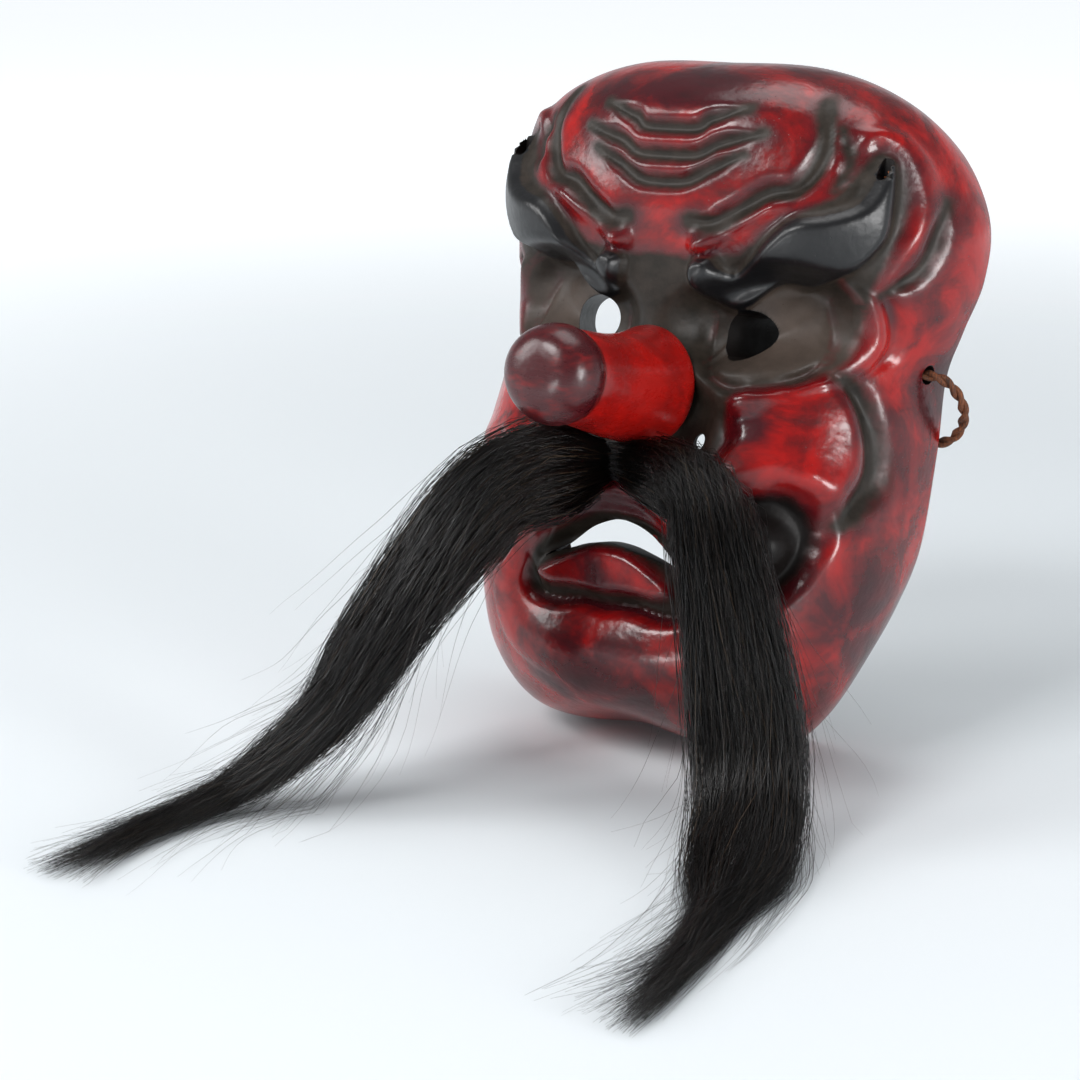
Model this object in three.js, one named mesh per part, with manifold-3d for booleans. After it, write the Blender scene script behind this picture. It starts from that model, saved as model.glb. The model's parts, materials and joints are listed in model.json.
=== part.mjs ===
// Carved goblin mask with a long nose and a horsehair moustache, in millimetres, +Z up.
// The mask is modelled upright, with its flat back rim in the plane y = 0 and its face towards -Y,
// then leant back. Left is -X, as seen from the front.
import * as THREE from "three";
import { mergeVertices } from "three/addons/utils/BufferGeometryUtils.js";
import Module from "manifold-3d";

const wasm = await Module();
wasm.setup();

// Driving dimensions
const lean = 11; // degrees that the mask leans back
const maskWidth = 194;
const maskHeight = 253;
const faceDepth = 87; // rim plane to the lips
const wall = 7.5; // thickness of the carved shell
const rimWidth = 8; // width of the flat back rim
const eyeSpacing = 64;
const eyeHeight = 28.5; // above the middle of the rim
const eyeHoleRadius = 9.3;
const eyeHoleTurn = 17; // degrees that each eye hole runs outwards on its way back
const eyeBlock = 28; // how far the thick wood behind each eye fills the hollow
const mouthHeight = -52;
const mouthHalfWidth = 29;
const mouthOpening = 8.5;
const nostrilRadius = 3;
const noseLength = 76;
const noseRadius = 18.3;
const noseHeight = 5.5;
const noseRise = 3.5; // degrees that the nose points up from square
const noseSeatInset = 12.5; // of the nose's seat, back from the lips
const dowelRadius = 5;
const dowelInNose = 18;
const pegRadius = 1.9;
const pegDepth = 9;
const pegHoleHeight = 9;
const browTip = [76.5, 90]; // peg hole, out from the middle and up
const rootRadius = 6;
const rootHalfLength = 14;
const rootUnderNose = 3.2; // room between the nose and the bound root
const rootPastLip = 1;
const plugRadius = 3.6;
const tieInset = 6; // from the root's end to the middle of its tie
const tieThickness = 1.3;
const tieWidth = 3.4;
const tuftRadius = 17; // half width of a tuft where it is fullest
const tuftGap = 4; // from the bound root to the start of a tuft
const cordDiameter = 4;
const cordHoleRadius = 3.6;
const nostrilX = 25;
const dowelInShell = 6;
const plugLength = 15;
const cordHole = [15, 21]; // forward of the rim plane, and up
const knotRadius = 5.2;
const gap = 0.3; // left between pieces that touch
const clearance = 0.2; // of a hole round its peg
const noseSeatDepth = faceDepth - noseSeatInset;
const rootHeight = noseHeight - noseRadius - rootRadius - rootUnderNose;
const rootDepth = faceDepth + rootPastLip;
const tieOffset = rootHalfLength - tieInset;

const wood = new THREE.MeshStandardMaterial({ color: 0xa3201c, roughness: 0.32, metalness: 0 });
const noseWood = new THREE.MeshStandardMaterial({ color: 0xb3231d, roughness: 0.28, metalness: 0 });
const bareWood = new THREE.MeshStandardMaterial({ color: 0xa4562a, roughness: 0.8, metalness: 0 });
const hair = new THREE.MeshStandardMaterial({ color: 0x14110f, roughness: 0.55, metalness: 0 });
const thread = new THREE.MeshStandardMaterial({ color: 0x5a4326, roughness: 0.8, metalness: 0 });
const cordFibre = new THREE.MeshStandardMaterial({ color: 0x6a3a1e, roughness: 0.75, metalness: 0 });

// ---- helpers ----

// A value read from stations, easing in and out of each one.
function ease(x, stations) {
  const last = stations.length - 1;
  if (x <= stations[0][0]) return stations[0][1];
  for (let i = 0; i < last; i += 1) {
    const [x0, y0] = stations[i];
    const [x1, y1] = stations[i + 1];
    if (x <= x1) {
      const f = (x - x0) / (x1 - x0);
      return y0 + (y1 - y0) * f * f * (3 - 2 * f);
    }
  }
  return stations[last][1];
}

function solid(geometry) {
  const g = geometry.index ? geometry.clone() : geometry;
  g.deleteAttribute("normal");
  g.deleteAttribute("uv");
  const merged = mergeVertices(g, 1e-4);
  return new wasm.Manifold(
    new wasm.Mesh({
      numProp: 3,
      vertProperties: merged.attributes.position.array,
      triVerts: new Uint32Array(merged.index.array),
    }),
  );
}

function geometryOf(manifold) {
  const m = manifold.getMesh();
  const g = new THREE.BufferGeometry();
  g.setAttribute("position", new THREE.BufferAttribute(m.vertProperties, 3));
  g.setIndex(new THREE.BufferAttribute(m.triVerts, 1));
  g.computeVertexNormals();
  return g;
}

function piece(name, geometry, material) {
  const mesh = new THREE.Mesh(geometry, material);
  mesh.name = name;
  return mesh;
}

// Rings of points, one list per ring, closed by a cap at each end.
function loft(rings) {
  const n = rings[0].length;
  const points = rings.flat();
  const index = [];
  rings.slice(1).forEach((_, i) => {
    for (let j = 0; j < n; j += 1) {
      const a = i * n + j;
      const b = i * n + ((j + 1) % n);
      index.push(a, b, b + n, a, b + n, a + n);
    }
  });
  const first = points.length;
  [rings[0], rings[rings.length - 1]].forEach((ring) => {
    const middle = ring.reduce((s, p) => s.add(p), new THREE.Vector3()).divideScalar(n);
    points.push(middle);
  });
  const end = (rings.length - 1) * n;
  for (let j = 0; j < n; j += 1) {
    index.push(first, (j + 1) % n, j);
    index.push(first + 1, end + j, end + ((j + 1) % n));
  }
  const g = new THREE.BufferGeometry().setFromPoints(points);
  g.setIndex(index);
  g.computeVertexNormals();
  return g;
}

// ---- carved face ----

// Half of the rim's outline from the top down, as shares of the half width and half height.
const rimShares = [
  [0, 1.004],
  [0.35, 0.996],
  [0.62, 0.933],
  [0.845, 0.814],
  [0.99, 0.632],
  [1, 0.458],
  [0.938, 0.3],
  [0.892, 0.158],
  [0.897, -0.063],
  [0.876, -0.34],
  [0.814, -0.514],
  [0.742, -0.648],
  [0.619, -0.806],
  [0.474, -0.917],
  [0.268, -0.98],
  [0, -0.996],
];
const columns = 64;
const rows = 20;
const halfWidth = maskWidth / 2;
const halfHeight = maskHeight / 2;

function rimPoints(count) {
  const half = rimShares.map(([x, z]) => new THREE.Vector3(x * halfWidth, z * halfHeight, 0));
  const other = half
    .slice(1, -1)
    .reverse()
    .map((p) => new THREE.Vector3(-p.x, p.y, 0));
  const curve = new THREE.CatmullRomCurve3([...half, ...other], true, "catmullrom", 0.5);
  return curve.getSpacedPoints(count).slice(0, count);
}

// Depth of the plain form along its middle, as shares of the face depth.
const middleDepth = [
  [-1, 0.83],
  [-0.88, 0.96],
  [-0.73, 1.02],
  [-0.47, 0.99],
  [-0.24, 1],
  [0, 0.885],
  [0.24, 0.84],
  [0.4, 0.86],
  [0.6, 0.92],
  [0.83, 0.91],
  [1, 0.83],
];
// How square the form turns back to the rim, by direction in degrees above level.
const squareness = [
  [-90, 13],
  [-60, 12],
  [-35, 6.5],
  [-10, 4.2],
  [20, 3],
  [40, 3.6],
  [60, 11],
  [90, 16],
];
// How far the sides stand out past the rim, half way back.
const standOut = [
  [-90, 0.02],
  [-62, 0.12],
  [-40, 0.07],
  [-15, 0],
  [20, 0],
  [45, 0.03],
  [62, 0.05],
  [90, 0.03],
];
const sideFall = [
  [-0.3, 0.1],
  [0.48, 0.18],
  [0.8, 0.34],
];

function formDepth(x, z, share, depth) {
  const angle = THREE.MathUtils.radToDeg(Math.atan2(z, Math.abs(x)));
  const falls = ease(z / halfHeight, sideFall) * Math.min(1, Math.abs(x) / halfWidth) ** 2;
  const roll = Math.sqrt(Math.max(0, 1 - share ** ease(angle, squareness)));
  return depth * ease(z / halfHeight, middleDepth) * (1 - falls) * roll;
}

// A soft mound or hollow on an oval footprint.
function mound(x, z, cx, cz, rx, rz, turn, height, flat) {
  const t = THREE.MathUtils.degToRad(turn);
  const dx = x - cx;
  const dz = z - cz;
  const a = (dx * Math.cos(t) + dz * Math.sin(t)) / rx;
  const b = (dz * Math.cos(t) - dx * Math.sin(t)) / rz;
  return height * Math.exp(-((a * a + b * b) ** flat));
}

// A carved band along a line of points.
function band(x, z, line, width, height) {
  let best = Infinity;
  line.slice(1).forEach(([bx, bz], i) => {
    const [ax, az] = line[i];
    const length = (bx - ax) ** 2 + (bz - az) ** 2;
    const t = ((x - ax) * (bx - ax) + (z - az) * (bz - az)) / length;
    const f = Math.min(1, Math.max(0, t));
    best = Math.min(best, (x - ax - f * (bx - ax)) ** 2 + (z - az - f * (bz - az)) ** 2);
  });
  return height * Math.exp(-best / (width * width));
}

const eyeX = eyeSpacing / 2;
const browLine = [
  [18, 46],
  [30, 42],
  [48, 52],
  [62, 59],
  [71, 68],
  [browTip[0] - 2, browTip[1]],
];
const furrowLine = [
  [57, 100],
  [50, 81],
  [33, 73],
  [13, 68],
];
const ridgeLine = [
  [17, 61],
  [37, 71],
  [56, 82],
  [61, 94],
];
const cheekGroove = [
  [66, 17],
  [75, 9],
  [80, -16],
  [77, -35],
];

// Height of the carving above the plain form, the same on both sides.
function relief(xSigned, z) {
  const x = Math.abs(xSigned);
  const m = mouthHeight;
  return (
    mound(x, z, eyeX + 9, eyeHeight + 6.5, 30, 17, 14, -20, 2.2) +
    mound(x, z, eyeX + 6, eyeHeight + 0.5, 19, 15, 8, 8, 1.6) +
    band(x, z, browLine, 7, 6) +
    band(x, z, furrowLine, 5, -3.5) +
    band(x, z, ridgeLine, 4, 3) +
    mound(x, z, 58, -5, 20, 17, 0, 6, 1.8) +
    band(x, z, cheekGroove, 4, -4) +
    mound(x, z, 60, m + 5, 15, 19, 0, -8, 2) +
    mound(x, z, 57, m + 5, 9, 9, 0, 8, 1.5) +
    mound(x, z, 0, m - 9, 27, 8, 0, 6, 2) +
    mound(x, z, 0, m - 22, 34, 5, 0, -6, 2) +
    mound(x, z, 0, m - 45, 40, 16, 0, 4, 1.5) +
    mound(x, z, 0, rootHeight + 1, rootHalfLength + 12, rootRadius + 4, 0, -5, 2)
  );
}

// The hollow back follows only the deep parts of the carving.
function hollowRelief(xSigned, z) {
  const x = Math.abs(xSigned);
  return (
    mound(x, z, eyeX + 9, eyeHeight + 6.5, 34, 21, 14, -eyeBlock, 2) +
    mound(x, z, 60, mouthHeight + 5, 19, 23, 0, -8, 1.6) +
    mound(x, z, 0, mouthHeight - 22, 40, 9, 0, -5, 1.6) +
    mound(x, z, 0, rootHeight + 1, rootHalfLength + 16, rootRadius + 8, 0, -5, 1.6)
  );
}

// Spacing of the rows from the middle out, even along the curve of a typical section.
function rowShares() {
  const steps = 2000;
  const lengths = [0];
  for (let i = 1; i <= steps; i += 1) {
    const a = (i - 1) / steps;
    const b = i / steps;
    const rise = faceDepth * (Math.sqrt(1 - a ** 5) - Math.sqrt(1 - b ** 5));
    lengths.push(lengths[i - 1] + Math.hypot((halfWidth + halfHeight) / 2 / steps, rise));
  }
  const shares = [];
  for (let r = 1; r <= rows; r += 1) {
    const target = (lengths[steps] * r) / rows;
    shares.push(lengths.findIndex((v) => v >= target - 1e-9) / steps);
  }
  return shares;
}

// One skin of the shell: rings of points from near the middle out to the rim.
function skin(outline, depth, carve) {
  return rowShares().map((share) =>
    outline.map((p) => {
      const x = p.x * share;
      const z = p.y * share;
      const angle = THREE.MathUtils.radToDeg(Math.atan2(z, Math.abs(x)));
      const plain = formDepth(x, z, share, depth);
      const t = Math.min(1, plain / depth);
      const swell = 1 + ease(angle, standOut) * 4 * t * (1 - t);
      const fade = Math.min(1, (1 - share) / 0.12);
      const out = Math.max(0, plain + carve(x * swell, z * swell) * fade * t ** 0.3);
      return new THREE.Vector3(x * swell, share === 1 ? 0 : -out, z * swell);
    }),
  );
}

function shellSolid() {
  const outline = rimPoints(columns);
  // The outline runs clockwise seen from the front, so its inner side is on the right of its way.
  const inset = outline.map((p, i) => {
    const before = outline[(i + columns - 1) % columns];
    const after = outline[(i + 1) % columns];
    const along = after.clone().sub(before).normalize();
    return new THREE.Vector3(p.x + along.y * rimWidth, p.y - along.x * rimWidth, 0);
  });
  const front = skin(outline, faceDepth, relief);
  const back = skin(inset, faceDepth - wall, hollowRelief);
  return solid(loft([...front, ...back.reverse()]));
}

// ---- openings through the face ----

const noseFrame = new THREE.Matrix4()
  .makeTranslation(0, -noseSeatDepth, noseHeight)
  .multiply(new THREE.Matrix4().makeRotationX(-THREE.MathUtils.degToRad(noseRise)));

// A cylinder that goes right through the face from front to back.
function drill(radius, x, z, sides) {
  const g = new THREE.CylinderGeometry(radius, radius, faceDepth * 3, sides);
  g.translate(x, 0, z);
  return solid(g);
}

// An eye hole turns about its place on the face, outwards behind it.
function eyeCutter(side) {
  const g = new THREE.CylinderGeometry(eyeHoleRadius, eyeHoleRadius, faceDepth * 1.6, 28);
  g.rotateZ(side * THREE.MathUtils.degToRad(eyeHoleTurn) * -1);
  return solid(g.translate(side * eyeX, -surfaceDepth(eyeX, eyeHeight), eyeHeight));
}

function mouthCutter() {
  const half = mouthHalfWidth;
  const top = mouthHeight + mouthOpening;
  const corner = mouthHeight - 9;
  const shape = new THREE.Shape();
  shape.moveTo(-half, corner);
  shape.bezierCurveTo(-half * 0.6, corner + 5, -half * 0.4, top, 0, top);
  shape.bezierCurveTo(half * 0.4, top, half * 0.6, corner + 5, half, corner);
  shape.bezierCurveTo(half * 0.6, corner + 2, half * 0.4, mouthHeight, 0, mouthHeight);
  shape.bezierCurveTo(-half * 0.4, mouthHeight, -half * 0.6, corner + 2, -half, corner);
  const g = new THREE.ExtrudeGeometry(shape, { depth: faceDepth * 2, bevelEnabled: false, curveSegments: 8 });
  g.rotateX(Math.PI / 2);
  g.translate(0, faceDepth / 2, 0);
  return solid(g);
}

// A slot with round ends, open to the front, for the peg at a brow's tip.
function pegCutter(side) {
  const r = pegRadius + clearance;
  const shape = new THREE.Shape();
  shape.absarc(0, 0, r, Math.PI, 2 * Math.PI);
  shape.absarc(0, pegHoleHeight - 2 * r, r, 0, Math.PI);
  const g = new THREE.ExtrudeGeometry(shape, { depth: faceDepth, bevelEnabled: false, curveSegments: 8 });
  g.rotateX(Math.PI / 2);
  g.translate(side * browTip[0], -pegFloor, browTip[1]);
  return solid(g);
}

const rimForDepth = rimPoints(360);

// Depth of the carved surface at a place on the face.
function surfaceDepth(x, z) {
  const near = rimForDepth.reduce((best, p) => {
    const turn = (p.x * x + p.y * z) / Math.hypot(p.x, p.y);
    return turn > best.turn ? { turn, reach: Math.hypot(p.x, p.y) } : best;
  }, { turn: -Infinity, reach: 1 });
  const share = Math.min(1, Math.hypot(x, z) / near.reach);
  return formDepth(x, z, share, faceDepth) + relief(x, z);
}

const pegFloor = surfaceDepth(...browTip) - pegDepth;

// Room for the bound root and its ties against the lip.
function rootCutter() {
  const r = rootRadius + tieThickness + 3 * gap;
  const g = new THREE.CapsuleGeometry(r, 2 * rootHalfLength, 6, 24);
  g.rotateZ(Math.PI / 2);
  g.translate(0, -rootDepth, rootHeight);
  return solid(g);
}

function noseCutters() {
  const seat = new THREE.CylinderGeometry(noseRadius + 4.5, noseRadius + 4.5, 60, 40);
  seat.translate(0, -30, 0);
  const hole = new THREE.CylinderGeometry(dowelRadius + clearance, dowelRadius + clearance, 80, 24);
  return [seat, hole].map((g) => solid(g.applyMatrix4(noseFrame)));
}

function carvedShell() {
  const plugHole = drill(plugRadius + clearance, 0, rootHeight, 24);
  const cuts = [mouthCutter(), rootCutter(), plugHole, ...noseCutters()];
  [-1, 1].forEach((side) => {
    const cord = new THREE.CylinderGeometry(cordHoleRadius, cordHoleRadius, halfWidth, 20);
    cord.rotateZ(Math.PI / 2);
    cord.translate(side * halfWidth * 0.9, -cordHole[0], cordHole[1]);
    cuts.push(solid(cord), pegCutter(side));
    cuts.push(eyeCutter(side));
    cuts.push(drill(nostrilRadius, side * nostrilX, noseHeight - 17, 16));
  });
  return cuts.reduce((body, cut) => body.subtract(cut), shellSolid());
}

// ---- nose and pegs ----

function noseGeometry() {
  const r = noseRadius;
  const l = noseLength;
  const profile = [
    [0, 0],
    [r + 1.6, 0],
    [r + 1.3, 4],
    [r + 0.9, 10],
    [r + 0.4, 20],
    [r - 0.4, 34],
    [r - 0.8, l - 26],
    [r - 1, l - 20],
    [r - 1.8, l - 18],
    [r - 0.8, l - 16],
    [r + 0.2, l - 11],
    [r - 1, l - 6],
    [r - 4.5, l - 2.4],
    [r - 9.5, l - 0.5],
    [0, l],
  ].map(([x, y]) => new THREE.Vector2(x, y));
  const hole = new THREE.CylinderGeometry(dowelRadius + clearance, dowelRadius + clearance, dowelInNose * 2, 24);
  const g = geometryOf(solid(new THREE.LatheGeometry(profile, 36)).subtract(solid(hole)));
  return g.rotateX(Math.PI).translate(0, -gap, 0).applyMatrix4(noseFrame);
}

function dowelGeometry() {
  const length = dowelInNose - 1 + dowelInShell;
  const g = new THREE.CylinderGeometry(dowelRadius, dowelRadius, length, 24);
  return g.translate(0, dowelInShell - length / 2, 0).applyMatrix4(noseFrame);
}

function pegGeometry(side) {
  const length = pegDepth - 2;
  const g = new THREE.CylinderGeometry(pegRadius, pegRadius * 0.9, length, 16);
  return g.translate(side * browTip[0], -(pegFloor + gap + length / 2), browTip[1]);
}

// ---- moustache ----

function rootGeometry() {
  const g = new THREE.CapsuleGeometry(rootRadius, 2 * (rootHalfLength - rootRadius), 4, 16);
  return g.rotateZ(Math.PI / 2).translate(0, -rootDepth, rootHeight);
}

function plugGeometry() {
  const front = rootDepth - rootRadius - gap;
  const g = new THREE.CylinderGeometry(plugRadius, plugRadius, plugLength, 20);
  return g.translate(0, plugLength / 2 - front, rootHeight);
}

function tieGeometry(side) {
  const inner = rootRadius + gap;
  const outer = inner + tieThickness;
  const w = tieWidth / 2;
  const profile = [
    [inner, -w],
    [outer - 0.3, -w],
    [outer, 0],
    [outer - 0.3, w],
    [inner, w],
    [inner, -w],
  ].map(([x, y]) => new THREE.Vector2(x, y));
  const g = new THREE.LatheGeometry(profile, 20);
  return g.rotateZ(Math.PI / 2).translate(side * tieOffset, -rootDepth, rootHeight);
}

// Each tuft's middle line, from the bound root out, down and along the surface under the mask:
// to the right, forward of the root, and up from the middle of the rim, all level with the ground.
const rootPlace = new THREE.Vector3(0, -rootDepth, rootHeight);
const tuftLines = {
  left: [
    [-31, 27.4, -11],
    [-50, 58.4, -33],
    [-61, 74.4, -58],
    [-70, 87.4, -84],
    [-80, 99.4, -103],
    [-92, 114.4, -115],
    [-100, 135.4, -120],
    [-104, 161.4, -121.5],
    [-105, 193.4, -121.5],
  ],
  right: [
    [39, 10.4, -8],
    [49, 15.4, -30],
    [59, 21.4, -56],
    [69, 28.4, -85],
    [77, 39.4, -106],
    [86, 60.4, -117],
    [95, 86.4, -121],
    [103, 117.4, -121.5],
    [109, 149.4, -121.5],
    [111, 179.4, -121.5],
  ],
};
// Half width of a tuft along its length, as shares of its fullest.
const tuftWidths = [
  [0, 0.36],
  [0.2, 0.78],
  [0.42, 1],
  [0.6, 0.86],
  [0.75, 0.4],
  [0.88, 0.26],
  [1, 0.09],
];
const tuftFlatness = 0.62; // thickness of a tuft over its width

function tuftCurve(side, leaning) {
  const start = rootPlace.clone().add(new THREE.Vector3((side === "left" ? -1 : 1) * rootHalfLength, 0, 0));
  start.applyAxisAngle(new THREE.Vector3(1, 0, 0), -leaning);
  const line = tuftLines[side].map(([x, forward, z]) => new THREE.Vector3(x, start.y - forward, z));
  const away = line[0].clone().sub(start).normalize();
  start.addScaledVector(away, tuftGap);
  return new THREE.CatmullRomCurve3([start, ...line], false, "catmullrom", 0.5);
}

function tuftGeometry(side, leaning) {
  const curve = tuftCurve(side, leaning);
  const steps = 26;
  const corners = 12;
  const ends = [curve.getPoint(0), curve.getPoint(1)];
  const across = new THREE.Vector3(ends[1].y - ends[0].y, ends[0].x - ends[1].x, 0).normalize();
  const rings = [];
  for (let i = 0; i <= steps; i += 1) {
    const t = i / steps;
    const middle = curve.getPointAt(t);
    const normal = curve.getTangentAt(t).cross(across).normalize();
    const r = tuftRadius * ease(t, tuftWidths);
    const ring = [];
    for (let j = 0; j < corners; j += 1) {
      const a = (2 * Math.PI * j) / corners;
      const p = middle.clone().addScaledVector(across, r * Math.cos(a));
      ring.push(p.addScaledVector(normal, r * tuftFlatness * Math.sin(a)));
    }
    rings.push(ring);
  }
  return loft(rings);
}

// ---- side cords ----

// The loop leaves the knot inside, goes out through its hole, round the back of the rim and in again.
function cordGeometry(side) {
  const [y, z] = cordHole;
  const wallX = halfWidth * 0.892;
  const inside = wallX - rimWidth - 3;
  const points = [
    [inside, -y, z],
    [wallX - 4, -y, z],
    [wallX + 3, -y + 0.5, z - 0.5],
    [wallX + 7.5, -y + 4.5, z - 4],
    [wallX + 10, -y + 10, z - 10.5],
    [wallX + 8, -y + 16, z - 17.5],
    [wallX + 2.5, -y + 20, z - 23.5],
    [wallX - 6, -y + 20.5, z - 26],
    [wallX - 12.5, -y + 15, z - 22],
    [wallX - 16, -y + 8, z - 15],
    [inside - knotRadius - 0.5, -y + 2, z - knotRadius - 2],
  ].map(([px, py, pz]) => new THREE.Vector3(side * px, py, pz));
  const route = new THREE.CatmullRomCurve3(points, false, "catmullrom", 0.5);
  const section = new THREE.Shape().absarc(0, 0, cordDiameter / 2, 0, 2 * Math.PI);
  return new THREE.ExtrudeGeometry(section, { steps: 32, curveSegments: 5, bevelEnabled: false, extrudePath: route });
}

function knotGeometry(side) {
  const [y, z] = cordHole;
  const inside = halfWidth * 0.892 - rimWidth - 3;
  const g = new THREE.SphereGeometry(knotRadius, 14, 10);
  return g.translate(side * (inside - knotRadius - gap), -y, z);
}

// ---- build ----

const leanAngle = THREE.MathUtils.degToRad(lean);
const mask = new THREE.Group();
mask.rotation.x = -leanAngle;
mask.add(
  piece("mask_shell", geometryOf(carvedShell()), wood),
  piece("nose", noseGeometry(), noseWood),
  piece("nose_dowel", dowelGeometry(), bareWood),
  piece("moustache_root", rootGeometry(), hair),
  piece("moustache_plug", plugGeometry(), bareWood),
);

const level = new THREE.Group();
[
  ["left", -1],
  ["right", 1],
].forEach(([name, side]) => {
  mask.add(
    piece("brow_peg_" + name, pegGeometry(side), bareWood),
    piece("moustache_tie_" + name, tieGeometry(side), thread),
    piece("cord_loop_" + name, cordGeometry(side), cordFibre),
    piece("cord_knot_" + name, knotGeometry(side), cordFibre),
  );
  level.add(piece("moustache_" + name, tuftGeometry(name, leanAngle), hair));
});

// The origin is on the back rim, at its top and in the middle of its width.
const topOfRim = new THREE.Vector3(0, 0, halfHeight * rimShares[0][1] - rimWidth / 2);
topOfRim.applyAxisAngle(new THREE.Vector3(1, 0, 0), -leanAngle);
const root = new THREE.Group();
root.add(mask, level);
[mask, level].forEach((group) => group.position.copy(topOfRim).negate());

export default root;
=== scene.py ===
import json
import math
import bpy
import numpy as np
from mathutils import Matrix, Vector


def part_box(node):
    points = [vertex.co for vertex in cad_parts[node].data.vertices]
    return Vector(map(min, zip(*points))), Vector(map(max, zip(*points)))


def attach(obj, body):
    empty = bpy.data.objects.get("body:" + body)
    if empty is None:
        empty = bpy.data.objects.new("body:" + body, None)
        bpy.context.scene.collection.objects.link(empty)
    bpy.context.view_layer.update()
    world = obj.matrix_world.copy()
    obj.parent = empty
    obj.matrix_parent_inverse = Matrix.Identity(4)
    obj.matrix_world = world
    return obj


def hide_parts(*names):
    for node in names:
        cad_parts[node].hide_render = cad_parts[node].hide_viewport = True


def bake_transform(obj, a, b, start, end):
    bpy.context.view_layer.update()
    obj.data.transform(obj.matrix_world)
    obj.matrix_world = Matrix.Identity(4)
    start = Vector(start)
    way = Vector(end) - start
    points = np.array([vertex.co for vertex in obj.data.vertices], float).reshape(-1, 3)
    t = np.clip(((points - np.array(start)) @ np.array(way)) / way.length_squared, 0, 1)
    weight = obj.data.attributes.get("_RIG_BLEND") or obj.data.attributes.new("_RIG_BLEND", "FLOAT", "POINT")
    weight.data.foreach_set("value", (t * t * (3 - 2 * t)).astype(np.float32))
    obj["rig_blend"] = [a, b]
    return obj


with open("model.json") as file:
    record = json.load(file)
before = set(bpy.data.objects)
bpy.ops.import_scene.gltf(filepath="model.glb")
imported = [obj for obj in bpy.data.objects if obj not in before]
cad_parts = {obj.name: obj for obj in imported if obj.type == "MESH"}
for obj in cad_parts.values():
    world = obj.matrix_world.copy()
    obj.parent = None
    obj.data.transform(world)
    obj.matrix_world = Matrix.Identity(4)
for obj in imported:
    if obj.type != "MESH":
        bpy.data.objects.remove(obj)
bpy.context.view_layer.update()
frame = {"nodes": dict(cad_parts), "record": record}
record = frame["record"]

# Shapes are worked out in the mask's own upright millimetres: x to the viewer's right, y backwards
# from the flat rim, z up from the rim's middle. leanBack then tips them back and makes them metres.
rimTop = 123.0
backAxis = record["mounts"][0]["axis"]
leanCos, leanSin = backAxis[1], -backAxis[2]


def leanBack(points):
    # turns upright millimetres back by the lean, with the top of the rim at the origin
    p = np.asarray(points, float)
    y, z = p[..., 1], p[..., 2] - rimTop
    return np.stack([p[..., 0], y * leanCos + z * leanSin, z * leanCos - y * leanSin], -1) / 1000


def standUp(points):
    # the way back from leanBack, to upright millimetres
    p = np.asarray(points, float) * 1000
    y, z = p[..., 1], p[..., 2]
    return np.stack([p[..., 0], y * leanCos - z * leanSin, y * leanSin + z * leanCos + rimTop], -1)


def fromLevel(points):
    # level millimetres from the rim's middle, moved to the rim's top, in metres
    lift = np.array([0, rimTop * leanSin, rimTop * leanCos])
    return (np.asarray(points, float) - lift) / 1000


# ---- camera ----
camera = {"place": (0.4063, -0.7774, 0.0656), "turn": 33.58, "down": 15.85, "angle": 27.68}
eye = bpy.data.objects.new("camera", bpy.data.cameras.new("camera"))
eye.data.angle = math.radians(camera["angle"])
eye.data.clip_start, eye.data.clip_end = 0.01, 40
eye.location = camera["place"]
eye.rotation_euler = (math.radians(90 - camera["down"]), 0, math.radians(camera["turn"]))
bpy.context.scene.collection.objects.link(eye)
bpy.context.scene.camera = eye
print("camera placed")


# ---- curves and meshes ----
def eased(x, places, values):
    # values read at x, easing in and out of each station
    places, values = np.asarray(places, float), np.asarray(values, float)
    x = np.clip(x, places[0], places[-1])
    i = np.clip(np.searchsorted(places, x, side="right") - 1, 0, len(places) - 2)
    f = (x - places[i]) / (places[i + 1] - places[i])
    return values[i] + (values[i + 1] - values[i]) * f * f * (3 - 2 * f)


def throughPoints(points, count, closed=False):
    # Catmull-Rom: a cubic through each pair of points whose slopes come from their neighbours
    p = np.asarray(points, float)
    if closed:
        q, spans = np.concatenate([p[-1:], p, p[:2]]), len(p)
    else:
        q, spans = np.concatenate([2 * p[:1] - p[1:2], p, 2 * p[-1:] - p[-2:-1]]), len(p) - 1
    t = np.linspace(0, spans, count, endpoint=not closed)
    i = np.minimum(t.astype(int), spans - 1)
    f = (t - i)[:, None]
    a, b, c, d = q[i], q[i + 1], q[i + 2], q[i + 3]
    return 0.5 * (2 * b + (c - a) * f + (2 * a - 5 * b + 4 * c - d) * f**2 + (3 * b - a - 3 * c + d) * f**3)


def evenly(points, count, closed=False):
    # the same curve cut at equal arc lengths
    fine = throughPoints(points, 3000, closed)
    if closed:
        fine = np.concatenate([fine, fine[:1]])
    run = np.concatenate([[0], np.cumsum(np.linalg.norm(np.diff(fine, axis=0), axis=1))])
    at = np.linspace(0, run[-1], count, endpoint=not closed)
    return np.stack([np.interp(at, run, fine[:, k]) for k in range(fine.shape[1])], 1)


def unit(v):
    return v / np.maximum(np.linalg.norm(v, axis=-1, keepdims=True), 1e-12)


def gridFaces(rows, columns, first=0, wrap=True):
    # quads between neighbouring rows of a grid of points, closed round its columns if wrap
    r = np.arange(rows - 1)[:, None]
    c = np.arange(columns if wrap else columns - 1)[None]
    n = (c + 1) % columns
    a, b, d, e = r * columns + c, r * columns + n, (r + 1) * columns + n, (r + 1) * columns + c
    return np.stack([a, b, d, e], -1).reshape(-1, 4) + first


def fanFaces(ring, middle, turned=False):
    # triangles from one point to each side of a ring of points
    after = np.roll(ring, -1)
    sides = [after, ring] if turned else [ring, after]
    return np.stack([*sides, np.full(len(ring), middle)], -1)


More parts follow.
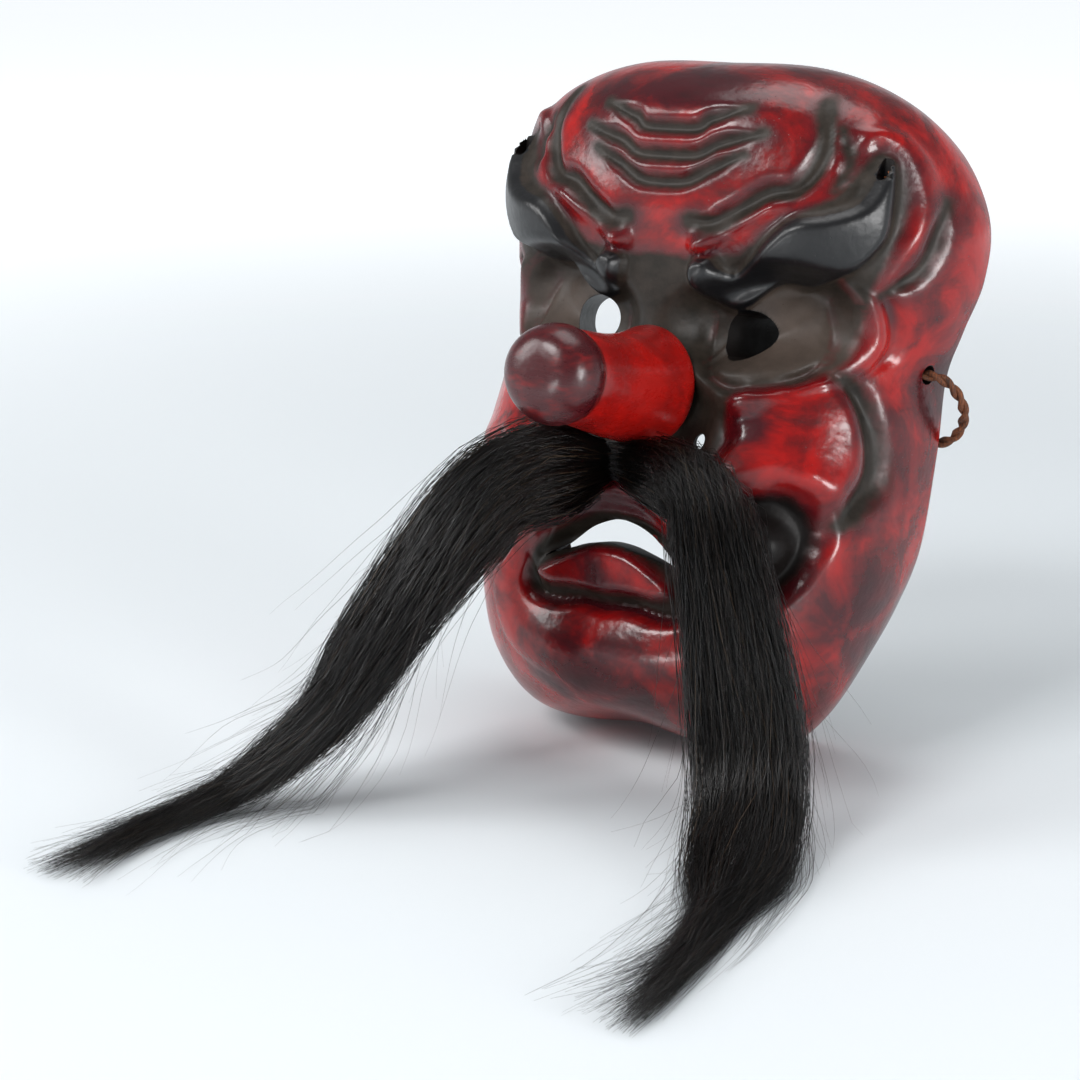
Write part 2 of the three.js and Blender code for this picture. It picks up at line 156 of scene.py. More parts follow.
def makePiece(name, points, quads=None, tris=None, sharp=None, marks=None):
    mesh = bpy.data.meshes.new(name)
    faces = [f for f in (quads, tris) if f is not None and len(f)]
    corners = np.concatenate([f.reshape(-1) for f in faces]).astype(np.int32)
    sizes = np.concatenate([np.full(len(f), f.shape[1]) for f in faces])
    mesh.vertices.add(len(points))
    mesh.vertices.foreach_set("co", np.asarray(points, np.float32).ravel())
    mesh.loops.add(len(corners))
    mesh.loops.foreach_set("vertex_index", corners)
    mesh.polygons.add(len(sizes))
    mesh.polygons.foreach_set("loop_start", (np.cumsum(sizes) - sizes).astype(np.int32))
    mesh.update(calc_edges=True)
    mesh.validate()
    mesh.shade_smooth()
    for mark, values in (marks or {}).items():
        layer = mesh.attributes.new(mark, "FLOAT", "POINT")
        layer.data.foreach_set("value", np.asarray(values, np.float32).ravel())
    if sharp:
        mesh.set_sharp_from_angle(angle=math.radians(sharp))
    piece = bpy.data.objects.new(name, mesh)
    bpy.context.scene.collection.objects.link(piece)
    return piece


def facesOut(piece):
    # turns every face of a closed mesh outwards
    import bmesh
    work = bmesh.new()
    work.from_mesh(piece.data)
    bmesh.ops.recalc_face_normals(work, faces=work.faces)
    work.to_mesh(piece.data)
    work.free()
    return piece


def frameAlong(path):
    # two crosswise directions at each point of a path, carried along it without twist
    ahead = unit(np.gradient(path, axis=0))
    side = np.cross(ahead[0], (0.13, 0.21, 0.97))
    sides = []
    for t in ahead:
        side = side - t * side.dot(t)
        side = side / np.linalg.norm(side)
        sides.append(side)
    sides = np.array(sides)
    return sides, np.cross(ahead, sides)


def tubeRings(path, radius, corners=10):
    # circles of the given radius square to a path: point + radius (cos a side + sin a other)
    side, other = frameAlong(path)
    a = np.linspace(0, 2 * np.pi, corners, endpoint=False)
    r = np.broadcast_to(radius, len(path))[:, None, None]
    turn = np.cos(a)[None, :, None] * side[:, None] + np.sin(a)[None, :, None] * other[:, None]
    return path[:, None] + r * turn


def joined(ringSets):
    # several tubes as one set of points and faces, each closed with a fan at either end
    points, quads, tris, first = [], [], [], 0
    for rings in ringSets:
        rows, corners = rings.shape[:2]
        ends = np.stack([rings[0].mean(0), rings[-1].mean(0)])
        points += [rings.reshape(-1, 3), ends]
        quads.append(gridFaces(rows, corners, first)[:, ::-1])
        start, stop = np.arange(corners) + first, np.arange(corners) + first + (rows - 1) * corners
        middle = first + rows * corners
        tris += [fanFaces(start, middle), fanFaces(stop, middle + 1, True)]
        first = middle + 2
    return np.concatenate(points), np.concatenate(quads), np.concatenate(tris)


# ---- side cords ----
sideCord = {
    "thickness": 4, "length": 0.09, "strandRadius": 1.12, "strandOffset": 0.98, "twistPitch": 13,
    "wall": 86.5, "knotSize": 3.1,
}


def cordRoute(side):
    w = sideCord["wall"]
    stops = [
        (w - 11, -15, 21), (w - 4, -15, 21), (w + 3, -14.5, 20.5), (w + 7.5, -10.5, 17), (w + 10, -5, 10.5),
        (w + 8, 1, 3.5), (w + 2.5, 5, -2.5), (w - 6, 5.5, -5), (w - 12.5, 0, -1), (w - 16, -7, 6), (w - 16.7, -13, 13.8),
    ]
    return evenly([(side * x, y, z) for x, y, z in stops], 96)


def twisted(path, count, offset, radius, pitch, corners=10):
    # strands that wind round a path: the crosswise frame turned once for each pitch of length
    side, other = frameAlong(path)
    run = np.concatenate([[0], np.cumsum(np.linalg.norm(np.diff(path, axis=0), axis=1))])
    sets = []
    for k in range(count):
        a = (2 * np.pi * (run / pitch + k / count))[:, None]
        sets.append(tubeRings(path + offset * (np.cos(a) * side + np.sin(a) * other), radius, corners))
    return sets


def cordKnot(side):
    # an overhand knot: the trefoil (sin t + 2 sin 2t, cos t - 2 cos 2t, -sin 3t)
    t = np.linspace(0, 2 * np.pi, 120, endpoint=False)
    loop = np.stack([np.sin(3 * t) * 0.9, np.sin(t) + 2 * np.sin(2 * t), np.cos(t) - 2 * np.cos(2 * t)], 1)
    loop = loop * sideCord["knotSize"] / 2.4
    loop = np.concatenate([loop, loop[:1]])
    return loop + np.array([side * (sideCord["wall"] - 16.6), -15, 21])


cordPieces = []
for label, side in (("left", -1), ("right", 1)):
    route = cordRoute(side)
    rings = twisted(route, 2, sideCord["strandOffset"], sideCord["strandRadius"], sideCord["twistPitch"])
    points, quads, tris = joined(rings)
    loop = makePiece("side_cord_" + label, leanBack(points), quads, tris)
    knotRings = twisted(cordKnot(side), 2, 0.8, 1.05, 7)
    points, quads, tris = joined(knotRings)
    knot = makePiece("side_knot_" + label, leanBack(points), quads, tris)
    for piece, node in ((loop, "cord_loop_" + label), (knot, "cord_knot_" + label)):
        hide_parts(node)
        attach(piece, "side_cord_" + label)
        cordPieces.append(piece)
    line = leanBack(route)
print("side cords made")


# ---- carved mask ----
mask = {
    "columns": 440, "rows": 146, "insideRows": 44, "wall": 7.5, "rimWidth": 8, "rimBevel": 0.8,
    "eye": (32, 28.5), "eyeHole": 9.3, "eyeFront": 60, "eyeTurn": 19, "nostril": (25, -11.5, 3), "cordHole": (15, 21, 3.6),
    "browTip": (76.5, 90), "pegSlot": (2.1, 9, 9), "root": (88, -22),
}
rimHalf = [
    (0, 127), (34, 126), (60, 118), (82, 103), (96, 80), (97, 58), (91, 38), (86.5, 20), (87, -8),
    (85, -43), (79, -65), (72, -82), (60, -102), (46, -116), (26, -124), (0, -126),
]
depthAt = [-129, -112, -92, -60, -30, 0, 30, 50, 75, 105, 128]
middleDepth = [72, 84, 89, 86, 87, 77, 73, 75, 80, 79, 72]
squareAt, squareness = np.radians([-90, -60, -35, -10, 20, 40, 60, 90]), [13, 12, 6.5, 4.2, 3.0, 3.6, 11, 16]
swellAt = np.radians([-90, -62, -40, -15, 20, 45, 62, 90])
swelling = [0.02, 0.12, 0.07, 0, 0, 0.03, 0.055, 0.035]

browEdge = [
    (15, 47), (19, 41), (27, 36.5), (36, 38), (49, 45), (61, 50), (70, 57), (76, 68), (77, 82), (75.5, 94),
    (73, 88), (69, 78), (61, 73), (51, 70), (43, 63), (37, 55), (30, 49.5), (25, 51), (21, 55), (15, 53),
]
cheekEdge = [
    (37, 2), (40, 9), (47, 11), (55, 12), (62, 14), (69, 11), (74, 4), (77, -6), (77, -18), (74, -27),
    (66, -24), (58, -21), (50, -24), (42, -28), (38, -22), (41, -12), (40, -6),
]
hollowEdge = [
    (47, -30), (53, -27), (61, -25), (68, -28), (73, -35), (74, -43), (71, -52), (67, -60), (61, -67),
    (52, -66), (45, -54), (43, -40),
]
lowerLipEdge = [(-12, -54), (0, -52.5), (10, -54), (20, -59), (29, -66), (24, -70), (13, -69.5), (0, -70), (-12, -70)]
greyEdge = [
    (-12, 57), (0, 56), (10, 55), (17, 55), (24, 56), (31, 57), (38, 62), (46, 69), (54, 74), (62, 79),
    (68, 89), (73, 98), (79, 92), (81, 80), (80, 66), (76, 53), (74, 44), (71, 32), (65, 20), (57, 13),
    (47, 10), (40, 8), (36, 0), (37, -10), (34, -20), (30, -27), (20, -27), (0, -27), (-12, -27),
]
mouthEdge = [
    (-12, -40), (0, -40), (9, -41), (18, -45), (27, -51), (34, -58), (36, -66), (34, -74), (24, -75),
    (12, -73), (0, -73.5), (-12, -73.5),
]
wrinkles = [
    [(0, 101), (11, 101.5), (16, 105), (29, 109)],
    [(0, 91), (12, 91.5), (21, 96), (36, 100)],
    [(0, 81), (10, 82), (19, 87), (30, 92)],
]
furrow = [(53, 113), (57, 100), (56, 90), (50, 81), (41, 79), (33, 73), (23, 67), (13, 68)]
browRidge = [(17, 60), (27, 66), (37, 71), (46, 76), (56, 82), (61, 94)]
leaf = [(61, 104), (66, 94), (63, 82)]
tipArc = [(66, 92), (70, 103), (78, 100), (84, 88), (85, 72), (79, 55)]
outerGroove = [(90, 84), (90, 68), (86, 57), (77, 47)]
cheekGroove = [(66, 17), (73, 11), (78, -2), (80, -16), (79, -26), (77, -35)]
lidLine = [(19, 34), (20, 22), (27, 13), (38, 8.5), (50, 11), (60, 18), (66, 29), (65, 42)]
bagLine = [(66, 51), (72, 43), (73, 31), (67, 19), (57, 9)]
bagGroove = [(77, 50), (80, 42), (79, 29), (73, 17)]
upperLip = [(0, -31), (9, -32), (18, -36), (28, -44), (35, -53)]
mouthLine = [(0, -46), (10, -47.5), (20, -53), (30, -60)]
underLip = [(0, -74), (10, -73), (22, -75), (32, -73), (36, -62)]


def mound(x, z, cx, cz, rx, rz, turn, height, flat=1.0):
    # height exp(-(r^2)^flat) on an oval that is turned by an angle
    c, s = math.cos(math.radians(turn)), math.sin(math.radians(turn))
    a, b = ((x - cx) * c + (z - cz) * s) / rx, ((z - cz) * c - (x - cx) * s) / rz
    return height * np.exp(-((a * a + b * b) ** flat))


def toLine(x, z, line, reach, count=56):
    # distance from each place to a smooth line, and how far along the line, within reach of it
    c = throughPoints(line, count)
    away, along = np.full(x.shape, 99.0), np.zeros(x.shape)
    near = (x > c[:, 0].min() - reach) & (x < c[:, 0].max() + reach)
    near &= (z > c[:, 1].min() - reach) & (z < c[:, 1].max() + reach)
    px, pz = x[near], z[near]
    best, share = np.full(px.shape, 1e9), np.zeros(px.shape)
    for k in range(count - 1):
        step = c[k + 1] - c[k]
        f = np.clip(((px - c[k, 0]) * step[0] + (pz - c[k, 1]) * step[1]) / (step @ step + 1e-12), 0, 1)
        gap = (px - c[k, 0] - f * step[0]) ** 2 + (pz - c[k, 1] - f * step[1]) ** 2
        closer = gap < best
        best, share = np.where(closer, gap, best), np.where(closer, (k + f) / (count - 1), share)
    away[near], along[near] = np.sqrt(best), share
    return away, along


def carvedBand(x, z, line, width, height, power=2.0, startFade=0.25, endFade=0.25):
    # height exp(-(distance / width)^power), shallower and narrower towards its faded ends
    away, along = toLine(x, z, line, 4 * width)
    fade = np.ones_like(along)
    if startFade:
        fade = fade * np.clip(along / startFade, 0, 1)
    if endFade:
        fade = fade * np.clip((1 - along) / endFade, 0, 1)
    fade = fade * fade * (3 - 2 * fade)
    return height * (0.15 + 0.85 * fade) * np.exp(-((away / (width * (0.35 + 0.65 * fade))) ** power))


def toEdge(x, z, edge, count=170):
    # distance to a closed outline, less than zero inside it
    c = throughPoints(edge, count, True)
    best, inside = np.full(x.shape, 1e9), np.zeros(x.shape, bool)
    for (ax, az), (bx, bz) in zip(c, np.roll(c, -1, 0)):
        dx, dz = bx - ax, bz - az
        f = np.clip(((x - ax) * dx + (z - az) * dz) / (dx * dx + dz * dz + 1e-12), 0, 1)
        best = np.minimum(best, (x - ax - f * dx) ** 2 + (z - az - f * dz) ** 2)
        crosses = (az > z) != (bz > z)
        inside ^= crosses & (x < dx * (z - az) / (dz + 1e-12) + ax)
    return np.where(inside, -1, 1) * np.sqrt(best)


def plateau(away, height, soft):
    # height inside an outline, falling to nothing over a soft edge
    t = np.clip(0.5 - away / (2 * soft), 0, 1)
    return height * t * t * (3 - 2 * t)


def carveFace(u, v):
    # the carving's height over the plain form, and the painter's masks that go with it
    x = np.abs(u + 0.7 * np.sin(v / 17 + 1) + 0.5 * np.sin(u / 21 + v / 33))
    z = v + 0.6 * np.sin(u / 19 + 2)
    brow, cheek, hollow = toEdge(x, z, browEdge), toEdge(x, z, cheekEdge), toEdge(x, z, hollowEdge)
    lip, grey, mouth = toEdge(x, z, lowerLipEdge), toEdge(x, z, greyEdge), toEdge(x, z, mouthEdge)
    h = mound(x, z, 41, 35, 30, 17, 14, -21, 2.4) + mound(x, z, 41, 30, 23, 17, 8, 8.5, 1.8)
    h += carvedBand(x, z, lidLine, 2.2, -2.4, 2, 0.2, 0.2) + carvedBand(x, z, bagLine, 4.6, 4.6, 3)
    h += carvedBand(x, z, [(16, 30), (22, 12), (38, 4), (54, 6)], 4, 3.4) + carvedBand(x, z, bagGroove, 2.2, -2.4)
    for line in wrinkles:
        h += carvedBand(x, z, line, 2.7, -3.1, 2.4, 0, 0.3)
    h += carvedBand(x, z, furrow, 4.3, -4.2, 2.6, 0.3, 0.2) + carvedBand(x, z, browRidge, 3.2, 3.2, 2, 0, 0.5)
    h += mound(x, z, 17, 60, 5, 4.5, 0, 3) + carvedBand(x, z, leaf, 3.2, -2.8)
    h += carvedBand(x, z, tipArc, 3.6, 3) + carvedBand(x, z, outerGroove, 2.2, -2.8)
    h += plateau(brow, 7.5, 2.6) + mound(x, z, 21, 44, 6, 6, 0, 3) + plateau(cheek, 5.5, 4) + carvedBand(x, z, cheekGroove, 2.6, -4)
    h += plateau(hollow, -9, 3.5) + mound(x, z, 57, -47, 9.5, 9.5, 0, 9, 1.6)
    h += carvedBand(x, z, upperLip, 4, 4, 2, 0, 0.3) + carvedBand(x, z, mouthLine, 4.5, -8, 3, 0, 0.3)
    h += plateau(lip, 6, 3) + carvedBand(x, z, underLip, 3, -6, 2, 0, 0.2)
    h += mound(x, z, 0, -97, 40, 16, 0, 4, 1.5) + mound(x, z, 20, -2, 10, 26, 0, -7, 1.5)
    for line, width in [(w, 2.5) for w in wrinkles] + [(furrow, 3.4), (leaf, 1.6), (outerGroove, 1.6), (cheekGroove, 2.6)]:
        grey = np.minimum(grey, toLine(x, z, line, 14)[0] - width)
    grey = np.minimum(grey, np.maximum(mouth, -lip))
    grey = np.minimum(grey, hollow + 1)
    # burgundy: darker red lacquer on the lips, the chin, the cheek patch and the forehead's top, and painted shade on
    # the outer sides of the face
    burgundy = (mound(x, z, 0, 116, 45, 12, 0, 0.9) + mound(x, z, 0, -98, 50, 30, 0, 0.6, 1.5)
                + mound(x, z, 46, -6, 9, 9, 0, 0.8) + mound(x, z, 0, -38, 26, 10, 0, 0.8)
                + mound(x, z, 0, -61, 26, 9, 0, 0.45, 1.5)
                + mound(x, z, 78, 88, 9, 14, 0, 0.9) + mound(x, z, 92, 20, 12, 34, 0, 0.75)
                + mound(x, z, 78, -70, 14, 28, 0, 0.7))
    lids = np.minimum(toLine(x, z, lidLine, 8)[0], toLine(x, z, bagLine, 8)[0])
    socket = mound(x, z, 50, 29, 23, 15, 10, 1, 1.6)
    return h, {"brow": brow, "grey": grey, "hollow": hollow, "burgundy": burgundy, "lids": lids, "socket": socket}


def hollowBack(u, v):
    # the hollow behind follows only the deep parts of the carving, with the gouge's shallow flutes
    x = np.abs(u)
    h = mound(x, v, 41, 34, 36, 23, 14, -35, 2) + mound(x, v, 60, -47, 19, 23, 0, -8, 1.6)
    h += mound(x, v, 0, -74, 40, 9, 0, -5, 1.6) + mound(x, v, 0, -21, 30, 14, 0, -5, 1.6)
    flutes = np.sin(u / 2.1 + 1.5 * np.sin(v / 13)) * (0.6 + 0.4 * np.sin(v / 9 + u / 31))
    return h + 0.35 * flutes


def plainDepth(u, v, share):
    # depth of the uncarved form: middle depth, less a fall to the sides, rolled off towards the rim
    angle = np.arctan2(v, np.abs(u))
    sides = 1 - eased(v, [-40, 60, 100], [0.10, 0.18, 0.34]) * np.clip(np.abs(u) / 93, 0, 1) ** 2
    roll = np.clip(1 - share ** eased(angle, squareAt, squareness), 0, 1) ** 0.5
    return eased(v, depthAt, middleDepth) * sides * roll


def rowShares(rows):
    # rows spaced evenly by length along the section 75 sqrt(1 - r^5) over a half width of 105
    r = np.linspace(0, 1, 4001)
    run = np.concatenate([[0], np.cumsum(np.hypot(np.diff(r) * 105, np.diff(75 * np.sqrt(1 - r**5))))])
    return np.interp(np.linspace(0, run[-1], rows + 1)[1:], run, r)


def skin(outline, rows, carve, depthShare):
    # rings from near the middle out to the rim: share x outline, swollen, pushed out by the carving
    share = rowShares(rows)[:, None]
    u, v = share * outline[None, :, 0], share * outline[None, :, 1]
    depth = plainDepth(u, v, share) * depthShare
    t = np.clip(depth / 80, 0, 1)
    swell = 1 + eased(np.arctan2(v, np.abs(u)), swellAt, swelling) * 4 * t * (1 - t)
    u, v = u * swell, v * swell
    p = np.stack([u, -depth, v], -1)
    around = (np.roll(p, -1, 1) - np.roll(p, 1, 1)) / 2
    out = unit(np.cross(around, np.gradient(p, axis=0)))
    out = out * np.sign(-out[: rows // 2, :, 1].mean())
    carved = carve(u, v)
    height, marks = carved if isinstance(carved, tuple) else (carved, {})
    height = height * np.clip((1 - share) / 0.06, 0, 1)
    p = p + out * height[..., None]
    p[..., 1] = np.minimum(p[..., 1], 0)
    return p, height, marks


def inset(outline, by):
    # the outline moved inwards, square to itself
    ahead = unit(np.roll(outline, -1, 0) - np.roll(outline, 1, 0))
    inward = np.stack([ahead[:, 1], -ahead[:, 0]], 1)
    inward = inward * np.sign(-(inward * outline).sum(1).mean())
    return outline + inward * by


def blurred(values, times):
    # each value averaged with its four neighbours on the ring grid, again and again
    for _ in range(times):
        up, down = np.vstack([values[:1], values[:-1]]), np.vstack([values[1:], values[-1:]])
        values = (values + up + down + np.roll(values, 1, 1) + np.roll(values, -1, 1)) / 5
    return values


def maskShell():
    other = [(-x, z) for x, z in rimHalf[-2:0:-1]]
    outline = evenly(rimHalf + other, mask["columns"], True)
    outline = outline * (1 + 0.0022 * np.sin(np.arange(len(outline))[:, None] * 0.13 + 1))
    front, height, marks = skin(outline, mask["rows"], carveFace, 1)
    back, _, _ = skin(inset(outline, mask["rimWidth"]), mask["insideRows"], hollowBack, 1 - mask["wall"] / 80)
    bevel = mask["rimBevel"]
    front[-1, :, 1] = -bevel
    back[-1, :, 1] = -bevel
    flat = [inset(outline, bevel), inset(outline, mask["rimWidth"] - bevel)]
    rim = [np.stack([o[:, 0], 0 * o[:, 0], o[:, 1]], 1) for o in flat]
    rings = np.concatenate([front, np.array(rim), back[::-1]])
    rows, columns = rings.shape[:2]
    poles = np.stack([front[0].mean(0), back[0].mean(0)])
    points = np.concatenate([rings.reshape(-1, 3), poles])
    quads = gridFaces(rows, columns)
    first, last = np.arange(columns), np.arange(columns) + (rows - 1) * columns
    tris = np.concatenate([fanFaces(first, rows * columns, True), fanFaces(last, rows * columns + 1)])
    spare = rows * columns + 2 - front.shape[0] * columns

    def full(values, rest):
        return np.concatenate([np.clip(values, -20, 20).ravel(), np.full(spare, rest)])

    # recessShade: how far each point lies below its blurred neighbours, the mask for painted shade in the carving's
    # recesses
    recessShade = blurred(height, 14) - height
    kept = {
        "brow": full(marks["brow"], 20), "grey": full(marks["grey"], 20), "dark": full(marks["hollow"], 20),
        "burgundy": full(marks["burgundy"], 0), "lids": full(marks["lids"], 20), "recessShade": full(recessShade, 0),
        "socket": full(marks["socket"], 0),
        "inside": np.concatenate([np.zeros(front.shape[0] * columns), np.ones(spare)]),
    }
    return facesOut(makePiece("carved_mask", leanBack(points), quads, tris, marks=kept))


def prism(outline, near, far):
    # an outline in x and z carried straight back from one depth to another, and closed
    n = len(outline)
    ring = np.stack([outline[:, 0], np.zeros(n), outline[:, 1]], 1)
    points = [ring + (0, near, 0), ring + (0, far, 0)]
    ends = [points[0].mean(0, keepdims=True), points[1].mean(0, keepdims=True)]
    tris = np.concatenate([fanFaces(np.arange(n), 2 * n), fanFaces(np.arange(n) + n, 2 * n + 1, True)])
    return np.concatenate(points + ends), gridFaces(2, n), tris


def roundHole(x, z, radius, near, far, wobble=0.0, corners=56):
    a = np.linspace(0, 2 * np.pi, corners, endpoint=False)
    r = radius * (1 + wobble * (np.sin(3 * a + x) + 0.6 * np.sin(5 * a + 1)))
    return prism(np.stack([x + r * np.cos(a), z + r * np.sin(a)], 1), near, far)


def cutters():
    ex, ez = mask["eye"]
    cuts = []
    for side in (-1, 1):
        hole, quads, tris = roundHole(side * ex, ez, mask["eyeHole"], -95, -15, 0.012)
        hole[:, 0] += side * (hole[:, 1] + mask["eyeFront"]) * math.tan(math.radians(mask["eyeTurn"]))
        cuts.append((hole, quads, tris))
        cuts.append(roundHole(side * mask["nostril"][0], mask["nostril"][1], mask["nostril"][2], -110, -40))
        tipX, tipZ = mask["browTip"]
        r, tall, deep = mask["pegSlot"]
        a = np.linspace(0, 2 * np.pi, 24, endpoint=False)
        slot = np.stack([side * tipX + r * np.cos(a), tipZ + r * np.sin(a) + np.where(np.sin(a) > 0, tall - 2 * r, 0)], 1)
        cuts.append(prism(slot, -110, mask["pegFloor"]))
        py, pz, pr = mask["cordHole"]
        hole, quads, tris = roundHole(-py, pz, pr, 60, 120, corners=32)
        cuts.append((np.stack([side * hole[:, 1], hole[:, 0], hole[:, 2]], 1), quads, tris))
    top = [(-29, -61), (-22, -55.5), (-12, -47.5), (0, -43.5), (12, -47.5), (22, -55.5), (29, -61)]
    bottom = [(22, -57.5), (12, -54), (0, -52), (-12, -54), (-22, -57.5)]
    cuts.append(prism(evenly(top + bottom, 90, True), -115, -60))
    cuts.append(roundHole(0, mask["root"][1], 3.8, -110, -40, corners=28))
    cuts.append(roundHole(0, 5.5, 5.2, -76, -40, corners=32))
    points, quads, tris, first = [], [], [], 0
    for p, q, t in cuts:
        points.append(p)
        quads.append(q + first)
        tris.append(t + first)
        first += len(p)
    tool = makePiece("cutters", leanBack(np.concatenate(points)), np.concatenate(quads), np.concatenate(tris))
    return facesOut(tool)


def cutHoles(piece, tool):
    cut = piece.modifiers.new("holes", "BOOLEAN")
    cut.operation, cut.solver, cut.object = "DIFFERENCE", "MANIFOLD", tool
    ready = piece.evaluated_get(bpy.context.evaluated_depsgraph_get())
    mesh = bpy.data.meshes.new_from_object(ready)
    piece.modifiers.clear()
    piece.data = mesh
    bpy.data.objects.remove(tool)
    # points that the cut made have no masks yet: they take the carving's, count as painted grey, and are painted
    # near-black as painted shade on the walls of the drilled holes
    points = np.empty(len(mesh.vertices) * 3)
    mesh.vertices.foreach_get("co", points)
    values = {}
    for mark in mesh.attributes:
        if mark.data_type == "FLOAT":
            values[mark.name] = np.empty(len(mesh.vertices))
            mark.data.foreach_get("value", values[mark.name])
    fresh = (values["brow"] == 0) & (values["lids"] == 0)
    x, _, z = standUp(points.reshape(-1, 3)[fresh]).T
    marks = carveFace(x, z)[1]
    for name, found in (("brow", marks["brow"]), ("lids", marks["lids"]), ("dark", -6), ("grey", -2)):
        values[name][fresh] = np.clip(found, -20, 20)
        mesh.attributes[name].data.foreach_set("value", values[name].astype(np.float32))
    return mesh


mask["pegFloor"] = -52.0
shell = maskShell()
print("mask carved")
holed = cutHoles(shell, cutters())
print("mask drilled", len(holed.polygons), "faces", [a.name for a in holed.attributes])
holed.set_sharp_from_angle(angle=math.radians(50))


def settle(piece, body, slotName, *nodes):
    # the piece stands for these nodes and moves with the body; slotName is not used
    if nodes:
        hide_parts(*nodes)
    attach(piece, body)
    return piece


settle(shell, "mask", "lacquered_wood", "mask_shell")


# ---- nose ----
nose = {"radius": 18.3, "length": 76, "height": 5.5, "rise": 3.5, "seat": 74.5, "around": 144, "along": 150}


def noseSurface():
    # a turned profile (radius along length), pulled slightly out of round, faceted by the knife and drooping a little
    r, long = nose["radius"], nose["length"]
    profile = [
        (0.02, long + 0.3), (6, long), (11, long - 1.4), (14.6, long - 4.2), (16.9, long - 8), (18.1, long - 12.5),
        (17.9, long - 16), (17.1, long - 18.3), (16.75, long - 19.3), (16.95, long - 20.4), (17.3, long - 24),
        (17.45, long - 34), (17.75, long - 46), (18.3, long - 58), (18.9, long - 66), (19.5, long - 71),
        (19.9, long - 74), (19.7, long - 77), (18.6, long - 79.5),
    ]
    line = evenly(profile, nose["along"])
    a = np.linspace(0, 2 * np.pi, nose["around"], endpoint=False)[None]
    radius, ahead = line[:, :1], line[:, 1:]
    share = ahead / long
    radius = radius * (1 + 0.012 * np.cos(2 * a + 0.6) + 0.006 * np.cos(3 * a + 4 * share))
    facets = 0.11 * np.cos(11 * a + 3 * share) * np.clip(share * 3, 0, 1) * np.clip((long - 20 - ahead) / 6, 0, 1)
    radius = radius + facets * (radius > 8)
    lean = math.radians(nose["rise"])
    x, z, y = radius * np.cos(a), radius * np.sin(a), -ahead + 0 * a
    flare, belly = np.clip((0.45 - share) / 0.45, 0, 1) ** 1.7, np.clip((0.72 - share) / 0.5, 0, 1)
    top, under = np.clip(np.sin(a), 0, 1), np.clip(-np.sin(a), 0, 1)
    z = z + top * (3.6 * flare - 0.9 * np.sin(np.pi * np.clip(share, 0, 1))) - 2.4 * under * belly * belly * (3 - 2 * belly)
    p = np.stack([x, y * math.cos(lean) + z * math.sin(lean), z * math.cos(lean) - y * math.sin(lean)], -1)
    return p + np.array([0, -nose["seat"], nose["height"]]), np.broadcast_to(share, a.shape[:0] + (len(line), a.shape[1]))


rings, share = noseSurface()
rows, columns = rings.shape[:2]
points = np.concatenate([rings.reshape(-1, 3), [rings[0].mean(0), rings[-1].mean(0)]])
tris = np.concatenate([fanFaces(np.arange(columns), rows * columns),
                       fanFaces(np.arange(columns) + (rows - 1) * columns, rows * columns + 1, True)])
noseShare = np.concatenate([share.ravel(), [1, 0]])
noseTip = facesOut(makePiece("long_nose", leanBack(points), gridFaces(rows, columns), tris, marks={"share": noseShare}))
settle(noseTip, "mask", "nose_lacquer", "nose")
print("nose turned")

# ---- horsehair ----
rng = np.random.default_rng(7)
tufts = {
    "rootDepth": 88, "rootHeight": -22, "rootHalf": 14, "thickest": 17, "clumps": 70, "loose": 420,
    "left": [(-31, 27.4, -11), (-47, 55.4, -40), (-58, 72.4, -65), (-68, 86.4, -88), (-80, 99.4, -103),
             (-92, 114.4, -115), (-100, 135.4, -120), (-104, 161.4, -121.5), (-105, 193.4, -121.5)],
    "right": [(39, 10.4, -8), (49, 15.4, -30), (59, 21.4, -56), (69, 28.4, -85), (77, 39.4, -106),
              (86, 60.4, -117), (95, 86.4, -121), (103, 117.4, -121.5), (109, 149.4, -121.5), (111, 179.4, -121.5)],
    "widthAt": [0, 0.06, 0.2, 0.42, 0.6, 0.75, 0.88, 1],
    "left_ends": (0.45, 0.6), "right_ends": (0.56, 0.47),
    "left_width": [0.4, 0.62, 0.76, 0.82, 0.52, 0.2, 0.1, 0.05],
    "right_width": [0.4, 0.56, 0.82, 1.02, 0.92, 0.32, 0.14, 0.06],
    "left_tall": [1.0, 1.45, 1.1, 0.75, 0.65, 0.62, 0.7, 0.8],
    "right_tall": [1.0, 1.1, 0.9, 0.7, 0.62, 0.62, 0.7, 0.8],
    "perPiece": 2200, "pieces": 4, "stops": 14, "thickness": 0.25, "ground": -123.0,
}


def tuftRoute(label, count=200):
    side = -1 if label == "left" else 1
    start = np.array([side * (tufts["rootHalf"] - 11), -tufts["rootDepth"], tufts["rootHeight"]])
    start = np.array([start[0], start[1] * leanCos + start[2] * leanSin, start[2] * leanCos - start[1] * leanSin])
    line = np.array([(x, start[1] - forward, z) for x, forward, z in tufts[label]])
    return evenly(np.concatenate([[start], line]), count)


def acrossRoute(route):
    # the level direction across a tuft, and the one square to it, at each stop
    ahead = unit(np.gradient(route, axis=0))
    run = route[-1] - route[0]
    across = unit(np.array([-run[1], run[0], 0.0]) * -1)
    side = unit(across - ahead * (ahead @ across)[:, None])
    return side, np.cross(side, ahead)


